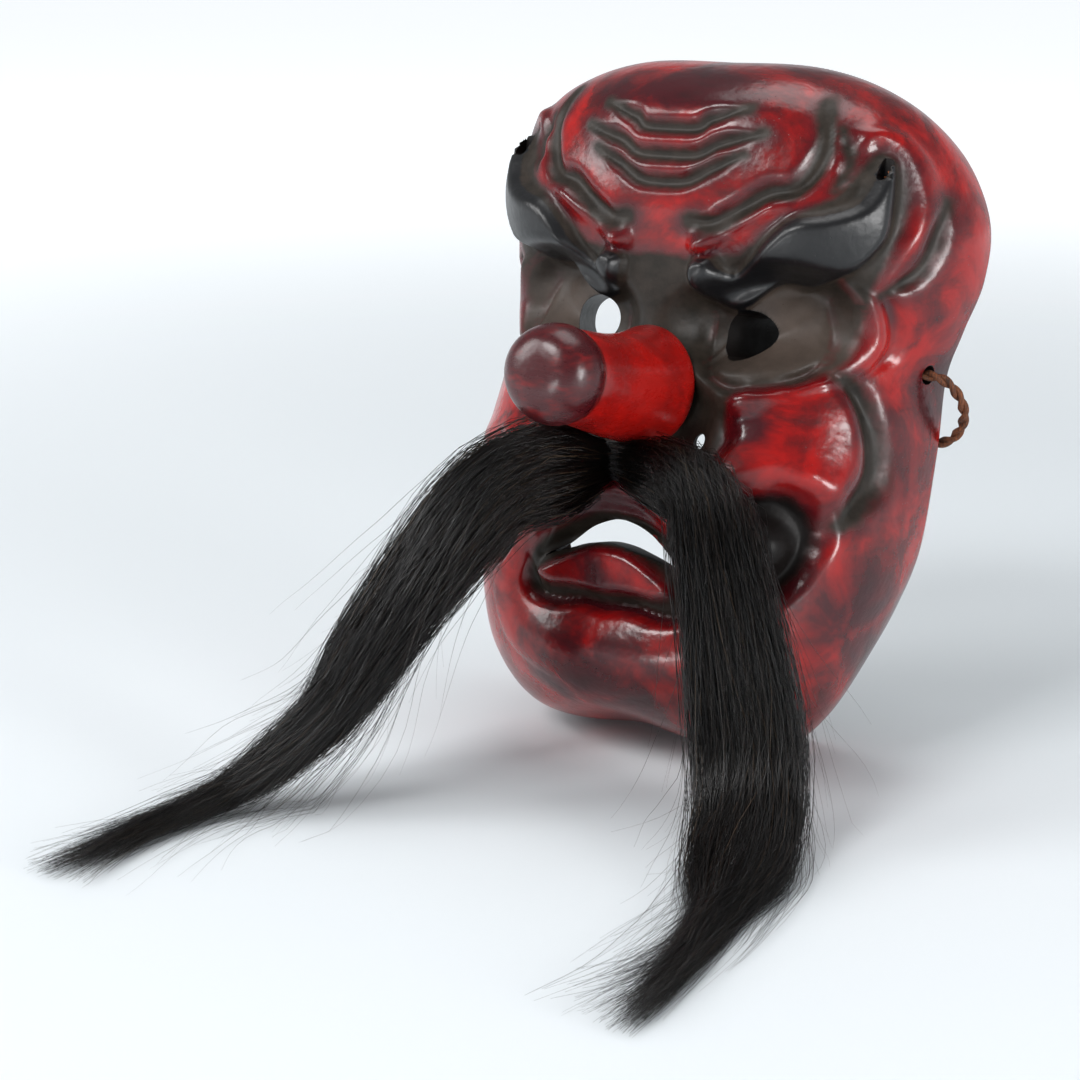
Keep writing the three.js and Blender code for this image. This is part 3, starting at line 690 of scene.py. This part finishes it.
def hairTubes(name, lines, thickness, shades):
    # three-sided tubes round many lines at once: line + r (cos a side + sin a other), thin at the tip
    count, stops = lines.shape[:2]
    ahead = unit(np.gradient(lines, axis=1))
    side = unit(np.cross(ahead, np.array([0.31, 0.52, 0.79])))
    other = np.cross(ahead, side)
    a = np.array([0, 2.0944, 4.18879])
    taper = np.interp(np.linspace(0, 1, stops), [0, 0.5, 1], [1, 1, 0.25])[None, :, None, None]
    r = 0.5 * thickness[:, None, None, None] * taper
    turn = np.cos(a)[:, None] * side[:, :, None] + np.sin(a)[:, None] * other[:, :, None]
    points = (lines[:, :, None] + r * turn).reshape(-1, 3)
    base = np.arange(count)[:, None, None] * (stops * 3)
    quads = (gridFaces(stops, 3)[None] + base).reshape(-1, 4)[:, ::-1]
    ends = np.stack([np.array([0, 1, 2]), np.array([2, 1, 0]) + (stops - 1) * 3])
    tris = (ends[None] + base).reshape(-1, 3)
    shade = np.repeat(shades, stops * 3)
    along = np.tile(np.repeat(np.linspace(0, 1, stops), 3), count)
    return makePiece(name, fromLevel(points), quads, tris, marks={"shade": shade, "along": along})


def tuftLines(label, count, stray=0.0):
    # each hair keeps its place in the tuft's oval section, drifts with slow waves, and joins a wisp at its tip
    route = tuftRoute(label)
    side, up = acrossRoute(route)
    stops = tufts["stops"] + (8 if stray else 0)
    begin = rng.uniform(0, 0.05, count) if not stray else rng.uniform(0.0, 0.3, count)
    shortest, spread = tufts[label + "_ends"]
    end = np.minimum(1, shortest + spread * rng.beta(2.1, 2.4, count))
    if stray:
        end = np.minimum(1.0, begin + rng.uniform(0.25, 0.75, count))
    t = begin[:, None] + (end - begin)[:, None] * np.linspace(0, 1, stops)[None] ** 0.92
    at = t * (len(route) - 1)
    pick = [np.interp(at, np.arange(len(route)), table[:, k]) for table in (route, side, up) for k in range(3)]
    middle, sideAt, upAt = (np.stack(pick[k:k + 3], -1) for k in (0, 3, 6))
    radius = tufts["thickest"] * eased(t, tufts["widthAt"], tufts[label + "_width"])
    angle, reach = rng.uniform(0, 2 * np.pi, count), np.sqrt(rng.uniform(0, 1, count)) * rng.choice([1, 1.15, 1.4], count, p=[0.76, 0.17, 0.07])
    clump = rng.integers(0, tufts["clumps"], count)
    drift = rng.normal(0, 0.45, tufts["clumps"])[clump] + rng.normal(0, 0.4, count)
    angle = angle + (2 * np.pi * clump / tufts["clumps"] - angle) * 0.75
    a = angle[:, None] + drift[:, None] * (t - 0.15) * 2
    x, y = reach[:, None] * np.cos(a), reach[:, None] * np.sin(a) * eased(t, tufts["widthAt"], tufts[label + "_tall"])
    wisp = rng.integers(0, 11, count)
    wispX, wispY, wispEnd = rng.normal(0, 7, 11), rng.normal(0, 3, 11), rng.uniform(0.6, 0.82, 11)
    pull = np.clip((t - wispEnd[wisp][:, None]) / 0.3, 0, 1.4) ** 1.6
    wave = [rng.normal(0, s, count)[:, None] * np.sin(t * f + rng.uniform(0, 6.3, count)[:, None]) for s, f in ((0.9, 8), (0.4, 21), (0.8, 7), (0.4, 25))]
    sway = [rng.normal(0, 1.5, tufts["clumps"])[clump][:, None] * np.sin(t * f + rng.uniform(0, 6.3, tufts["clumps"])[clump][:, None]) for f in (11, 13)]
    wave[0], wave[2] = wave[0] + sway[0], wave[2] + sway[1]
    grow = 0.35 + 1.1 * np.clip(t * 1.4, 0, 1)
    offX = x * radius * (1 - 0.35 * np.clip(pull, 0, 1)) + wispX[wisp][:, None] * pull + (wave[0] + wave[1]) * grow
    offY = y * radius * (1 - 0.35 * np.clip(pull, 0, 1)) + np.abs(wispY[wisp])[:, None] * pull + (wave[2] + wave[3]) * grow
    if stray:
        late = ((t - begin[:, None]) / (end - begin)[:, None]) ** 1.7
        offX = offX + rng.normal(0, stray, count)[:, None] * late
        offY = offY + rng.normal(0, stray * 0.7, count)[:, None] * late
        curl = rng.normal(0, stray * 0.22, count)[:, None] * late
        offX = offX + curl * np.sin(late * rng.uniform(3, 7, count)[:, None])
        middle = middle - np.array([0, 0, 1.0]) * (late * rng.uniform(0, stray * 0.7, count)[:, None])[..., None]
    lines = middle + sideAt * offX[..., None] + upAt * offY[..., None]
    past = np.abs(lines[..., 0]) - 100
    lines[..., 0] = np.where(past > 0, np.sign(lines[..., 0]) * (100 + 20 * np.tanh(past / 20)), lines[..., 0])
    low = tufts["ground"] + 0.4 + rng.uniform(0, 2.2, count)[:, None]
    lines[..., 2] = np.where(lines[..., 2] < low, low + 0.05 * (lines[..., 2] - low), lines[..., 2])
    return lines


def tuftCore(label):
    # a dark core inside the hair: an oval carried along the route, with lengthwise ridges
    route = tuftRoute(label, 120)[:98]
    side, up = acrossRoute(tuftRoute(label, 120))
    t = np.linspace(0, 1, 120)[:98]
    a = np.linspace(0, 2 * np.pi, 60, endpoint=False)
    r = tufts["thickest"] * 0.52 * eased(t, tufts["widthAt"], tufts[label + "_width"]) * np.interp(t, [0, 0.5, 0.75], [1, 0.9, 0.15])
    ridges = 1 + 0.06 * np.sin(9 * a[None] + 7 * t[:, None]) + 0.04 * np.sin(17 * a[None] - 11 * t[:, None])
    tall = eased(t, tufts["widthAt"], tufts[label + "_tall"])[:, None, None]
    ring = r[:, None, None] * ridges[..., None] * (np.cos(a)[None, :, None] * side[:98, None] + tall * np.sin(a)[None, :, None] * up[:98, None])
    points, quads, tris = joined([route[:, None] + ring])
    return facesOut(makePiece("hair_core_" + label, fromLevel(points), quads, tris))


hairPieces, corePieces = [], []
for label in ("left", "right"):
    core = tuftCore(label)
    corePieces.append(core)
    sets = [core]
    for k in range(tufts["pieces"]):
        lines = tuftLines(label, tufts["perPiece"])
        count = len(lines)
        sets.append(hairTubes("hair_%s_%d" % (label, k + 1), lines, tufts["thickness"] * rng.uniform(0.75, 1.15, count), rng.uniform(0, 1, count)))
    count = tufts["loose"]
    lines = tuftLines(label, count, 15)
    sets.append(hairTubes("hair_%s_loose" % label, lines, 0.21 * rng.uniform(0.7, 1.1, count), rng.uniform(0, 1, count)))
    hairPieces += sets[1:]
    route = tuftRoute(label)
    start, stop = fromLevel(route[3]), fromLevel(route[28])
    for k, piece in enumerate(sets):
        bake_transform(piece, "mask", "tuft_" + label, start=tuple(start), end=tuple(stop))
        if k == 0:
            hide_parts("moustache_" + label)
    print("hair laid,", label)


def rootHair():
    # the bound middle: hairs that cross from one tuft to the other round a rounded bundle
    count, stops = 1500, 14
    s = np.linspace(-1, 1, stops)[None]
    a, reach = rng.uniform(0, 2 * np.pi, count)[:, None], np.sqrt(rng.uniform(0.35, 1, count))[:, None]
    waist = 7.0 * (1 + 0.16 * s**2 - 0.1 * np.exp(-(((np.abs(s) - 0.5) / 0.1) ** 2)))
    x = s * (tufts["rootHalf"] + 5) + rng.normal(0, 0.8, count)[:, None]
    y = -tufts["rootDepth"] + reach * waist * np.cos(a + 0.25 * s) + rng.normal(0, 0.2, (count, 1)) * np.sin(3 * s)
    z = tufts["rootHeight"] + reach * waist * np.sin(a + 0.25 * s) - 1.2 * s**4 * 2
    level = leanBack(np.stack([x + 0 * y, y, z], -1)) * 1000 + np.array([0, rimTop * leanSin, rimTop * leanCos])
    return hairTubes("hair_root", level, 0.32 * rng.uniform(0.8, 1.2, count), rng.uniform(0, 1, count))


root = rootHair()
settle(root, "mask", "horsehair", "moustache_root")
line = np.stack([np.linspace(-17, 17, 40), np.full(40, -88.0), np.full(40, -22.0)], 1)
rings = tubeRings(line, 4.9 * np.sqrt(np.clip(1 - (np.linspace(-1, 1, 40) ** 8), 0.02, 1)), 32)
points, quads, tris = joined([rings])
rootCore = settle(makePiece("hair_root_core", leanBack(points), quads, tris), "mask", "horsehair")
hairPieces.append(root)
corePieces.append(rootCore)

# ---- thread ties ----
tie = {"offset": 8, "turns": 4, "pitch": 0.8, "radius": 7.0, "thread": 0.3}
tiePieces = []
for label, side in (("left", -1), ("right", 1)):
    # a helix round the bundle: (turn x pitch, R cos, R sin)
    a = np.linspace(0, 2 * np.pi * tie["turns"], 220)
    x = side * tie["offset"] + (a / (2 * np.pi) - tie["turns"] / 2) * tie["pitch"]
    bulge = tie["radius"] + 0.25 * np.sin(5 * a)
    helix = np.stack([x, -88 + bulge * np.cos(a), -22 + bulge * np.sin(a)], 1)
    points, quads, tris = joined([tubeRings(helix, tie["thread"], 7)])
    tiePieces.append(settle(makePiece("thread_tie_" + label, leanBack(points), quads, tris), "mask", "thread", "moustache_tie_" + label))
print("root and ties bound")

# ---- pegs in the brow tips ----
pegPieces = []
for label, side in (("left", -1), ("right", 1)):
    # a broken stub of bamboo: a tapering rod whose top ring is split and uneven
    a = np.linspace(0, 2 * np.pi, 40, endpoint=False)[None]
    s = np.linspace(0, 1, 14)[:, None]
    r = 1.85 * (1 - 0.08 * s) * (1 + 0.05 * np.sin(5 * a) + 0.03 * np.sin(9 * a + 1))
    low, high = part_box("brow_peg_" + label)
    middle = standUp(np.array([(low + high) / 2]))[0]
    back, front = middle[1] + 3.4, middle[1] - 5.4
    y = back + (front - back) * s + np.where(s > 0.99, 0.5 * np.sin(3 * a) + 0.3 * np.sin(7 * a), 0)
    rings = np.stack([middle[0] + r * np.cos(a), y + 0 * a, middle[2] + r * np.sin(a)], -1)
    points, quads, tris = joined([rings])
    pegPieces.append(settle(facesOut(makePiece("bamboo_stub_" + label, leanBack(points), quads, tris)), "mask", "bare_wood", "brow_peg_" + label))

# ---- materials ----
def colour(red, green, blue):
    # screen colour 0-255 to the renderer's linear scale
    c = np.array([red, green, blue]) / 255
    return (*np.where(c < 0.04045, c / 12.92, ((c + 0.055) / 1.055) ** 2.4), 1.0)


def put(tree, kind, wires=None, **settings):
    # one node: settings are its own, wires go to its sockets by name or number
    made = tree.nodes.new("ShaderNode" + kind)
    for name, value in settings.items():
        setattr(made, name, value)
    for socket, value in (wires or {}).items():
        if isinstance(value, bpy.types.NodeSocket):
            tree.links.new(value, made.inputs[socket])
        else:
            made.inputs[socket].default_value = value
    return made


def mixed(tree, share, first, second, blend="MIX"):
    return put(tree, "Mix", {0: share, 6: first, 7: second}, data_type="RGBA", blend_type=blend).outputs[2]


def step(tree, value, low, high, soft=True):
    kind = "SMOOTHSTEP" if soft else "LINEAR"
    return put(tree, "MapRange", {0: value, 1: low, 2: high}, interpolation_type=kind).outputs[0]


def sums(tree, operation, first, second=0.0, third=0.0):
    return put(tree, "Math", {0: first, 1: second, 2: third}, operation=operation).outputs[0]


def noise(tree, place, scale, detail=4.0, rough=0.6, warp=0.0):
    return put(tree, "TexNoise", {"Vector": place, "Scale": scale, "Detail": detail, "Roughness": rough, "Distortion": warp}).outputs[0]


def mark(tree, name):
    return put(tree, "Attribute", attribute_name=name).outputs["Fac"]


def here(tree):
    return put(tree, "TexCoord").outputs["Object"]


def effect(name, inputs, outputs, build):
    # a shared effect: a node group with named sockets, filled by build
    tree = bpy.data.node_groups.new(name, "ShaderNodeTree")
    for label, kind, value in inputs:
        socket = tree.interface.new_socket(label, in_out="INPUT", socket_type=kind)
        if value is not None:
            socket.default_value = value
    for label, kind in outputs:
        tree.interface.new_socket(label, in_out="OUTPUT", socket_type=kind)
    start, end = tree.nodes.new("NodeGroupInput"), tree.nodes.new("NodeGroupOutput")
    for label, socket in build(tree, start.outputs).items():
        tree.links.new(socket, end.inputs[label])
    return tree


def use(tree, group, wires):
    made = tree.nodes.new("ShaderNodeGroup")
    made.node_tree = group
    for name, value in wires.items():
        if isinstance(value, bpy.types.NodeSocket):
            tree.links.new(value, made.inputs[name])
        else:
            made.inputs[name].default_value = value
    return made.outputs


def buildMottle(tree, given):
    # brushed, rubbed lacquer: broad clouds and fine streaks that thin it to its dark ground
    place, scale = given["Place"], given["Scale"]
    stretched = put(tree, "Mapping", {0: place, "Scale": (0.6, 0.6, 1.6)}).outputs[0]
    clouds = noise(tree, place, scale, 5, 0.62, 0.6)
    streaks = noise(tree, stretched, sums(tree, "MULTIPLY", scale, 4.0), 6, 0.7, 0.3)
    both = sums(tree, "ADD", sums(tree, "MULTIPLY", clouds, 0.62), sums(tree, "MULTIPLY", streaks, 0.38))
    return {"Dark": step(tree, both, 0.47, 0.66), "Cloud": clouds, "Streak": streaks}


def buildPits(tree, given):
    # small round dents where the lacquer has popped: the nearest of scattered cells, kept where a noise is high
    place = given["Place"]
    cells = put(tree, "TexVoronoi", {"Vector": place, "Scale": given["Scale"], "Randomness": 1.0})
    dots = step(tree, cells.outputs["Distance"], 0.16, 0.05)
    some = step(tree, noise(tree, place, 90.0, 3), 0.5, 0.62)
    pick = put(tree, "SeparateColor", {0: cells.outputs["Color"]}).outputs[0]
    few = step(tree, pick, 0.45, 0.5)
    return {"Pit": sums(tree, "MULTIPLY", sums(tree, "MULTIPLY", dots, some), few)}


def buildGrain(tree, given):
    # wood grain: rings stretched along one direction, broken up by noise
    along = put(tree, "Mapping", {0: given["Place"], "Scale": (1.0, 1.0, 0.09)}).outputs[0]
    lines = noise(tree, along, given["Scale"], 6, 0.7, 0.4)
    broad = noise(tree, along, sums(tree, "MULTIPLY", given["Scale"], 0.2), 3, 0.5)
    return {"Grain": sums(tree, "ADD", sums(tree, "MULTIPLY", lines, 0.6), sums(tree, "MULTIPLY", broad, 0.4))}


placeIn, scaleIn = ("Place", "NodeSocketVector", None), ("Scale", "NodeSocketFloat", 40.0)
mottle = effect("rubbed lacquer", [placeIn, scaleIn], [("Dark", "NodeSocketFloat"), ("Cloud", "NodeSocketFloat"), ("Streak", "NodeSocketFloat")], buildMottle)
pits = effect("lacquer pits", [placeIn, scaleIn], [("Pit", "NodeSocketFloat")], buildPits)
grain = effect("wood grain", [placeIn, scaleIn], [("Grain", "NodeSocketFloat")], buildGrain)


def newMaterial(name):
    made = bpy.data.materials.new(name)
    made.use_nodes = True
    tree = made.node_tree
    tree.nodes.clear()
    shader, out = tree.nodes.new("ShaderNodeBsdfPrincipled"), tree.nodes.new("ShaderNodeOutputMaterial")
    tree.links.new(shader.outputs[0], out.inputs[0])
    return made, tree, shader


def feed(tree, shader, **wires):
    for name, value in wires.items():
        socket = shader.inputs[name.replace("_", " ")]
        if isinstance(value, bpy.types.NodeSocket):
            tree.links.new(value, socket)
        else:
            socket.default_value = value


def bumped(tree, height, depth, under=None):
    wires = {"Height": height, "Distance": depth, "Strength": 1.0}
    if under is not None:
        wires["Normal"] = under
    return put(tree, "Bump", wires).outputs[0]


lacquer = {
    "vermilion": (158, 15, 11), "red": (110, 10, 12), "burgundy": (62, 11, 18), "ground": (30, 11, 12),
    "grey": (76, 65, 58), "greyDark": (31, 27, 22), "deep": (14, 11, 11), "black": (13, 13, 15), "inside": (52, 34, 26), "insideDark": (24, 15, 12),
}
lacquer = {name: colour(*value) for name, value in lacquer.items()}


def lacqueredWood():
    made, tree, shader = newMaterial("lacquered wood")
    place = here(tree)
    wear = use(tree, mottle, {"Place": place, "Scale": 34.0})
    recessShade, burgundy = mark(tree, "recessShade"), mark(tree, "burgundy")
    wobble = sums(tree, "MULTIPLY", sums(tree, "SUBTRACT", noise(tree, place, 160.0, 4), 0.5), 3.0)
    red = mixed(tree, step(tree, wear["Cloud"], 0.36, 0.6), lacquer["vermilion"], lacquer["red"])
    deep = sums(tree, "ADD", burgundy, sums(tree, "MULTIPLY", sums(tree, "SUBTRACT", wear["Cloud"], 0.5), 1.1))
    # darker burgundy lacquer in its zones, with painted shade on the outer sides of the face
    red = mixed(tree, step(tree, deep, 0.22, 0.72), red, lacquer["burgundy"])
    red = mixed(tree, sums(tree, "MULTIPLY", wear["Dark"], 0.62), red, lacquer["ground"])
    # painted shade: the recesses of the carving darken towards burgundy
    red = mixed(tree, step(tree, recessShade, 0.15, 1.5), red, lacquer["burgundy"])
    shaded = step(tree, sums(tree, "ADD", mark(tree, "grey"), wobble), 6.0, 0.5)
    red = mixed(tree, sums(tree, "MULTIPLY", shaded, 0.75), red, lacquer["burgundy"])
    dusty = sums(tree, "MULTIPLY_ADD", noise(tree, place, 120.0, 6, 0.7), 0.9, -0.3)
    grey = mixed(tree, sums(tree, "ADD", dusty, sums(tree, "MULTIPLY", mark(tree, "socket"), 0.7)), lacquer["greyDark"], lacquer["grey"])
    greyShare = step(tree, sums(tree, "ADD", mark(tree, "grey"), wobble), 1.8, -1.6)
    lids = sums(tree, "MULTIPLY", step(tree, mark(tree, "lids"), 1.8, 0.6), step(tree, wear["Streak"], 0.42, 0.56))
    greyShare = sums(tree, "MULTIPLY", greyShare, sums(tree, "SUBTRACT", 1.0, sums(tree, "MULTIPLY", lids, 0.3)))
    paint = mixed(tree, greyShare, red, grey)
    # near-black where the dark mask is set: in the carved hollow beside the mouth, and as painted shade on the walls of
    # the drilled holes
    dark = step(tree, sums(tree, "ADD", mark(tree, "dark"), wobble), 1.0, -2.0)
    paint = mixed(tree, sums(tree, "MULTIPLY", dark, 0.88), paint, lacquer["deep"])
    pit = use(tree, pits, {"Place": place, "Scale": 620.0})["Pit"]
    paint = mixed(tree, sums(tree, "MULTIPLY", pit, 0.8), paint, lacquer["ground"])
    fine = sums(tree, "MULTIPLY", sums(tree, "SUBTRACT", noise(tree, place, 420.0, 2), 0.5), 0.8)
    browShare = step(tree, sums(tree, "ADD", mark(tree, "brow"), fine), 0.5, -0.1)
    paint = mixed(tree, browShare, paint, lacquer["black"])
    bare = use(tree, grain, {"Place": place, "Scale": 260.0})["Grain"]
    back = mixed(tree, step(tree, bare, 0.35, 0.65), lacquer["insideDark"], lacquer["inside"])
    inside = step(tree, mark(tree, "inside"), 0.35, 0.65)
    paint = mixed(tree, inside, paint, back)
    rough = sums(tree, "ADD", 0.15, sums(tree, "MULTIPLY", wear["Streak"], 0.15))
    rough = sums(tree, "ADD", rough, sums(tree, "MULTIPLY", sums(tree, "MULTIPLY", greyShare, 0.22), sums(tree, "SUBTRACT", 1.0, browShare)))
    rough = sums(tree, "ADD", rough, sums(tree, "ADD", sums(tree, "MULTIPLY", inside, 0.36), sums(tree, "MULTIPLY", browShare, 0.13)))
    coat = sums(tree, "MULTIPLY", sums(tree, "SUBTRACT", 1.0, sums(tree, "MULTIPLY", greyShare, 0.7)), sums(tree, "SUBTRACT", 1.0, inside))
    height = sums(tree, "ADD", noise(tree, place, 130.0, 2), sums(tree, "MULTIPLY", noise(tree, place, 900.0, 3), 0.12))
    height = sums(tree, "SUBTRACT", height, sums(tree, "MULTIPLY", pit, 0.35))
    height = sums(tree, "ADD", height, sums(tree, "MULTIPLY", sums(tree, "MULTIPLY", bare, inside), 0.5))
    coat = sums(tree, "MULTIPLY", sums(tree, "MAXIMUM", coat, browShare), sums(tree, "SUBTRACT", 1.0, sums(tree, "MULTIPLY", dark, 0.7)))
    feed(tree, shader, Base_Color=paint, Roughness=rough, Specular_IOR_Level=sums(tree, "MULTIPLY_ADD", coat, 0.37, 0.13),
         Normal=bumped(tree, height, 0.0003))
    return made


def noseLacquer():
    made, tree, shader = newMaterial("nose lacquer")
    place = here(tree)
    wear = use(tree, mottle, {"Place": place, "Scale": 46.0})
    share = mark(tree, "share")
    under = put(tree, "SeparateXYZ", {0: place}).outputs[2]
    low = step(tree, under, -0.112, -0.132)
    red = mixed(tree, step(tree, wear["Cloud"], 0.36, 0.62), lacquer["vermilion"], lacquer["red"])
    # painted light: the upper side of the nose is mixed towards a brighter vermilion, and the rubbed dark patches grow
    # stronger towards the underside
    red = mixed(tree, sums(tree, "MULTIPLY_ADD", low, -0.55, 0.55), red, colour(160, 18, 12))
    patches = sums(tree, "MULTIPLY", wear["Dark"], sums(tree, "MULTIPLY_ADD", low, 0.6, 0.3))
    red = mixed(tree, patches, red, lacquer["ground"])
    wobble = sums(tree, "MULTIPLY", sums(tree, "SUBTRACT", noise(tree, place, 150.0, 3), 0.5), 0.05)
    tip = step(tree, sums(tree, "ADD", share, wobble), 0.745, 0.775)
    streaky = mixed(tree, step(tree, wear["Streak"], 0.5, 0.78), colour(52, 10, 16), lacquer["red"])
    paint = mixed(tree, sums(tree, "MULTIPLY", tip, 0.95), red, streaky)
    # painted shade: a dark line along the ring crease behind the tip
    creaseShade = step(tree, sums(tree, "ABSOLUTE", sums(tree, "SUBTRACT", share, 0.745)), 0.016, 0.002)
    paint = mixed(tree, sums(tree, "MULTIPLY", creaseShade, 0.7), paint, lacquer["ground"])
    height = sums(tree, "ADD", noise(tree, place, 120.0, 2), sums(tree, "MULTIPLY", noise(tree, place, 800.0, 3), 0.1))
    rough = sums(tree, "ADD", 0.18, sums(tree, "MULTIPLY", wear["Streak"], 0.2))
    feed(tree, shader, Base_Color=paint, Roughness=rough, Specular_IOR_Level=0.5, Normal=bumped(tree, height, 0.0003))
    return made


def horsehair():
    made, tree, shader = newMaterial("horsehair")
    shade = mark(tree, "shade")
    tone = mixed(tree, step(tree, shade, 0.55, 1.0), colour(7, 6, 6), colour(34, 24, 17))
    streaks = noise(tree, put(tree, "Mapping", {0: here(tree), "Scale": (1, 1, 0.2)}).outputs[0], 900.0, 3)
    tone = mixed(tree, sums(tree, "MULTIPLY", streaks, 0.5), tone, colour(5, 5, 5))
    # painted highlight: a few hairs in a hundred are drawn light brown-grey
    tone = mixed(tree, step(tree, shade, 0.955, 0.97), tone, colour(72, 57, 43))
    feed(tree, shader, Base_Color=tone, Roughness=0.3, Specular_IOR_Level=0.5)
    return made


def hairCoreFinish():
    made, tree, shader = newMaterial("horsehair core")
    streaks = noise(tree, put(tree, "Mapping", {0: here(tree), "Scale": (1, 1, 0.08)}).outputs[0], 1400.0, 5, 0.7)
    tone = mixed(tree, step(tree, streaks, 0.35, 0.65), colour(6, 6, 6), colour(24, 20, 17))
    feed(tree, shader, Base_Color=tone, Roughness=0.75, Normal=bumped(tree, streaks, 0.0009))
    return made


def fibre(name, dark, fibreHighlight, scale, depth):
    # plant fibre: fine lines that lean across the strand, drawn lighter where they stand up as a painted highlight
    made, tree, shader = newMaterial(name)
    place = here(tree)
    lines = noise(tree, put(tree, "Mapping", {0: place, "Rotation": (0.6, 0.5, 0.3), "Scale": (1, 1, 0.16)}).outputs[0], scale, 5, 0.7)
    stain = noise(tree, place, 160.0, 3)
    tone = mixed(tree, step(tree, sums(tree, "ADD", lines, sums(tree, "MULTIPLY", stain, 0.5)), 0.55, 0.95), dark, fibreHighlight)
    feed(tree, shader, Base_Color=tone, Roughness=sums(tree, "ADD", 0.55, sums(tree, "MULTIPLY", lines, 0.3)),
         Normal=bumped(tree, lines, depth))
    return made


def bareWood():
    made, tree, shader = newMaterial("bare wood")
    place = here(tree)
    lines = use(tree, grain, {"Place": place, "Scale": 700.0})["Grain"]
    tone = mixed(tree, step(tree, lines, 0.38, 0.62), colour(92, 42, 18), colour(196, 112, 56))
    feed(tree, shader, Base_Color=tone, Roughness=0.7, Normal=bumped(tree, lines, 0.0004))
    return made


finishes = {
    "mask": lacqueredWood(), "nose": noseLacquer(), "hair": horsehair(), "core": hairCoreFinish(),
    "cord": fibre("twisted cord", colour(40, 20, 11), colour(128, 72, 38), 1500.0, 0.0006),
    "thread": fibre("binding thread", colour(34, 22, 12), colour(104, 74, 40), 2600.0, 0.0003), "wood": bareWood(),
}


def paintPiece(piece, finish):
    piece.data.materials.clear()
    piece.data.materials.append(finishes[finish])


paintPiece(shell, "mask")
paintPiece(noseTip, "nose")
for finish, pieces in (("hair", hairPieces), ("core", corePieces), ("cord", cordPieces), ("thread", tiePieces), ("wood", pegPieces)):
    for piece in pieces:
        paintPiece(piece, finish)
for node in ("nose_dowel", "moustache_plug"):
    paintPiece(frame["nodes"][node], "wood")
print("finishes painted")

# ---- floor and lights ----
floorLevel = -0.2440
size = 18.0
sweep = makePiece("floor", np.array([(-size, -size, floorLevel), (size, -size, floorLevel), (size, size, floorLevel), (-size, size, floorLevel)]), np.array([[0, 1, 2, 3]]))
made, tree, shader = newMaterial("pale floor")
cloud = noise(tree, here(tree), 1.3, 2)
# the studio's floor glows a little more the further it is from the middle, so it stays pale to its edge
far = put(tree, "VectorMath", {0: here(tree)}, operation="LENGTH").outputs["Value"]
feed(tree, shader, Base_Color=mixed(tree, cloud, colour(222, 228, 232), colour(227, 232, 235)), Roughness=0.6,
     Emission_Color=(0.96, 0.98, 1.0, 1), Emission_Strength=sums(tree, "MULTIPLY", step(tree, far, 0.35, 2.2), 0.74))
sweep.data.materials.append(made)

world = bpy.data.worlds.new("studio")
bpy.context.scene.world = world
world.use_nodes = True
world.node_tree.nodes["Background"].inputs[0].default_value = (0.92, 0.96, 1.0, 1)
# the studio is brighter near the horizon than overhead: strength falls from low to high elevations
aim = put(world.node_tree, "TexCoord").outputs["Generated"]
height = put(world.node_tree, "SeparateXYZ", {0: aim}).outputs[2]
glow = sums(world.node_tree, "MULTIPLY_ADD", step(world.node_tree, height, 0.42, 0.18), 0.48, 0.24)
world.node_tree.links.new(glow, world.node_tree.nodes["Background"].inputs[1])
bpy.context.scene.view_settings.view_transform = "Standard"

lamps = {
    # name: place, aimed at, width, height, power
    "windowLeft": ((-1.95, -1.45, 1.25), (0, -0.08, -0.12), 1.0, 1.3, 30),
    "windowRight": ((1.3, -0.33, 0.1), (0, -0.08, -0.12), 0.3, 0.45, 9),
    "front": ((-0.55, -1.75, 1.6), (0, -0.08, -0.12), 0.9, 0.7, 30),
    "low": ((0.0, -1.2, -0.1), (0, -0.08, -0.12), 0.22, 0.1, 1.6),
    "ceiling": ((0.1, 0.5, 2.4), (0, -0.1, -0.12), 1.8, 1.5, 24),
}
for name, (place, target, width, height, power) in lamps.items():
    lamp = bpy.data.objects.new(name, bpy.data.lights.new(name, "AREA"))
    lamp.data.shape, lamp.data.size, lamp.data.size_y, lamp.data.energy = "RECTANGLE", width, height, power
    away = np.array(place) - np.array(target)
    lamp.location = place
    flat = math.hypot(away[0], away[1])
    lamp.rotation_euler = (math.atan2(flat, away[2]), 0, math.atan2(away[0], -away[1]))
    bpy.context.scene.collection.objects.link(lamp)
print("lights set")
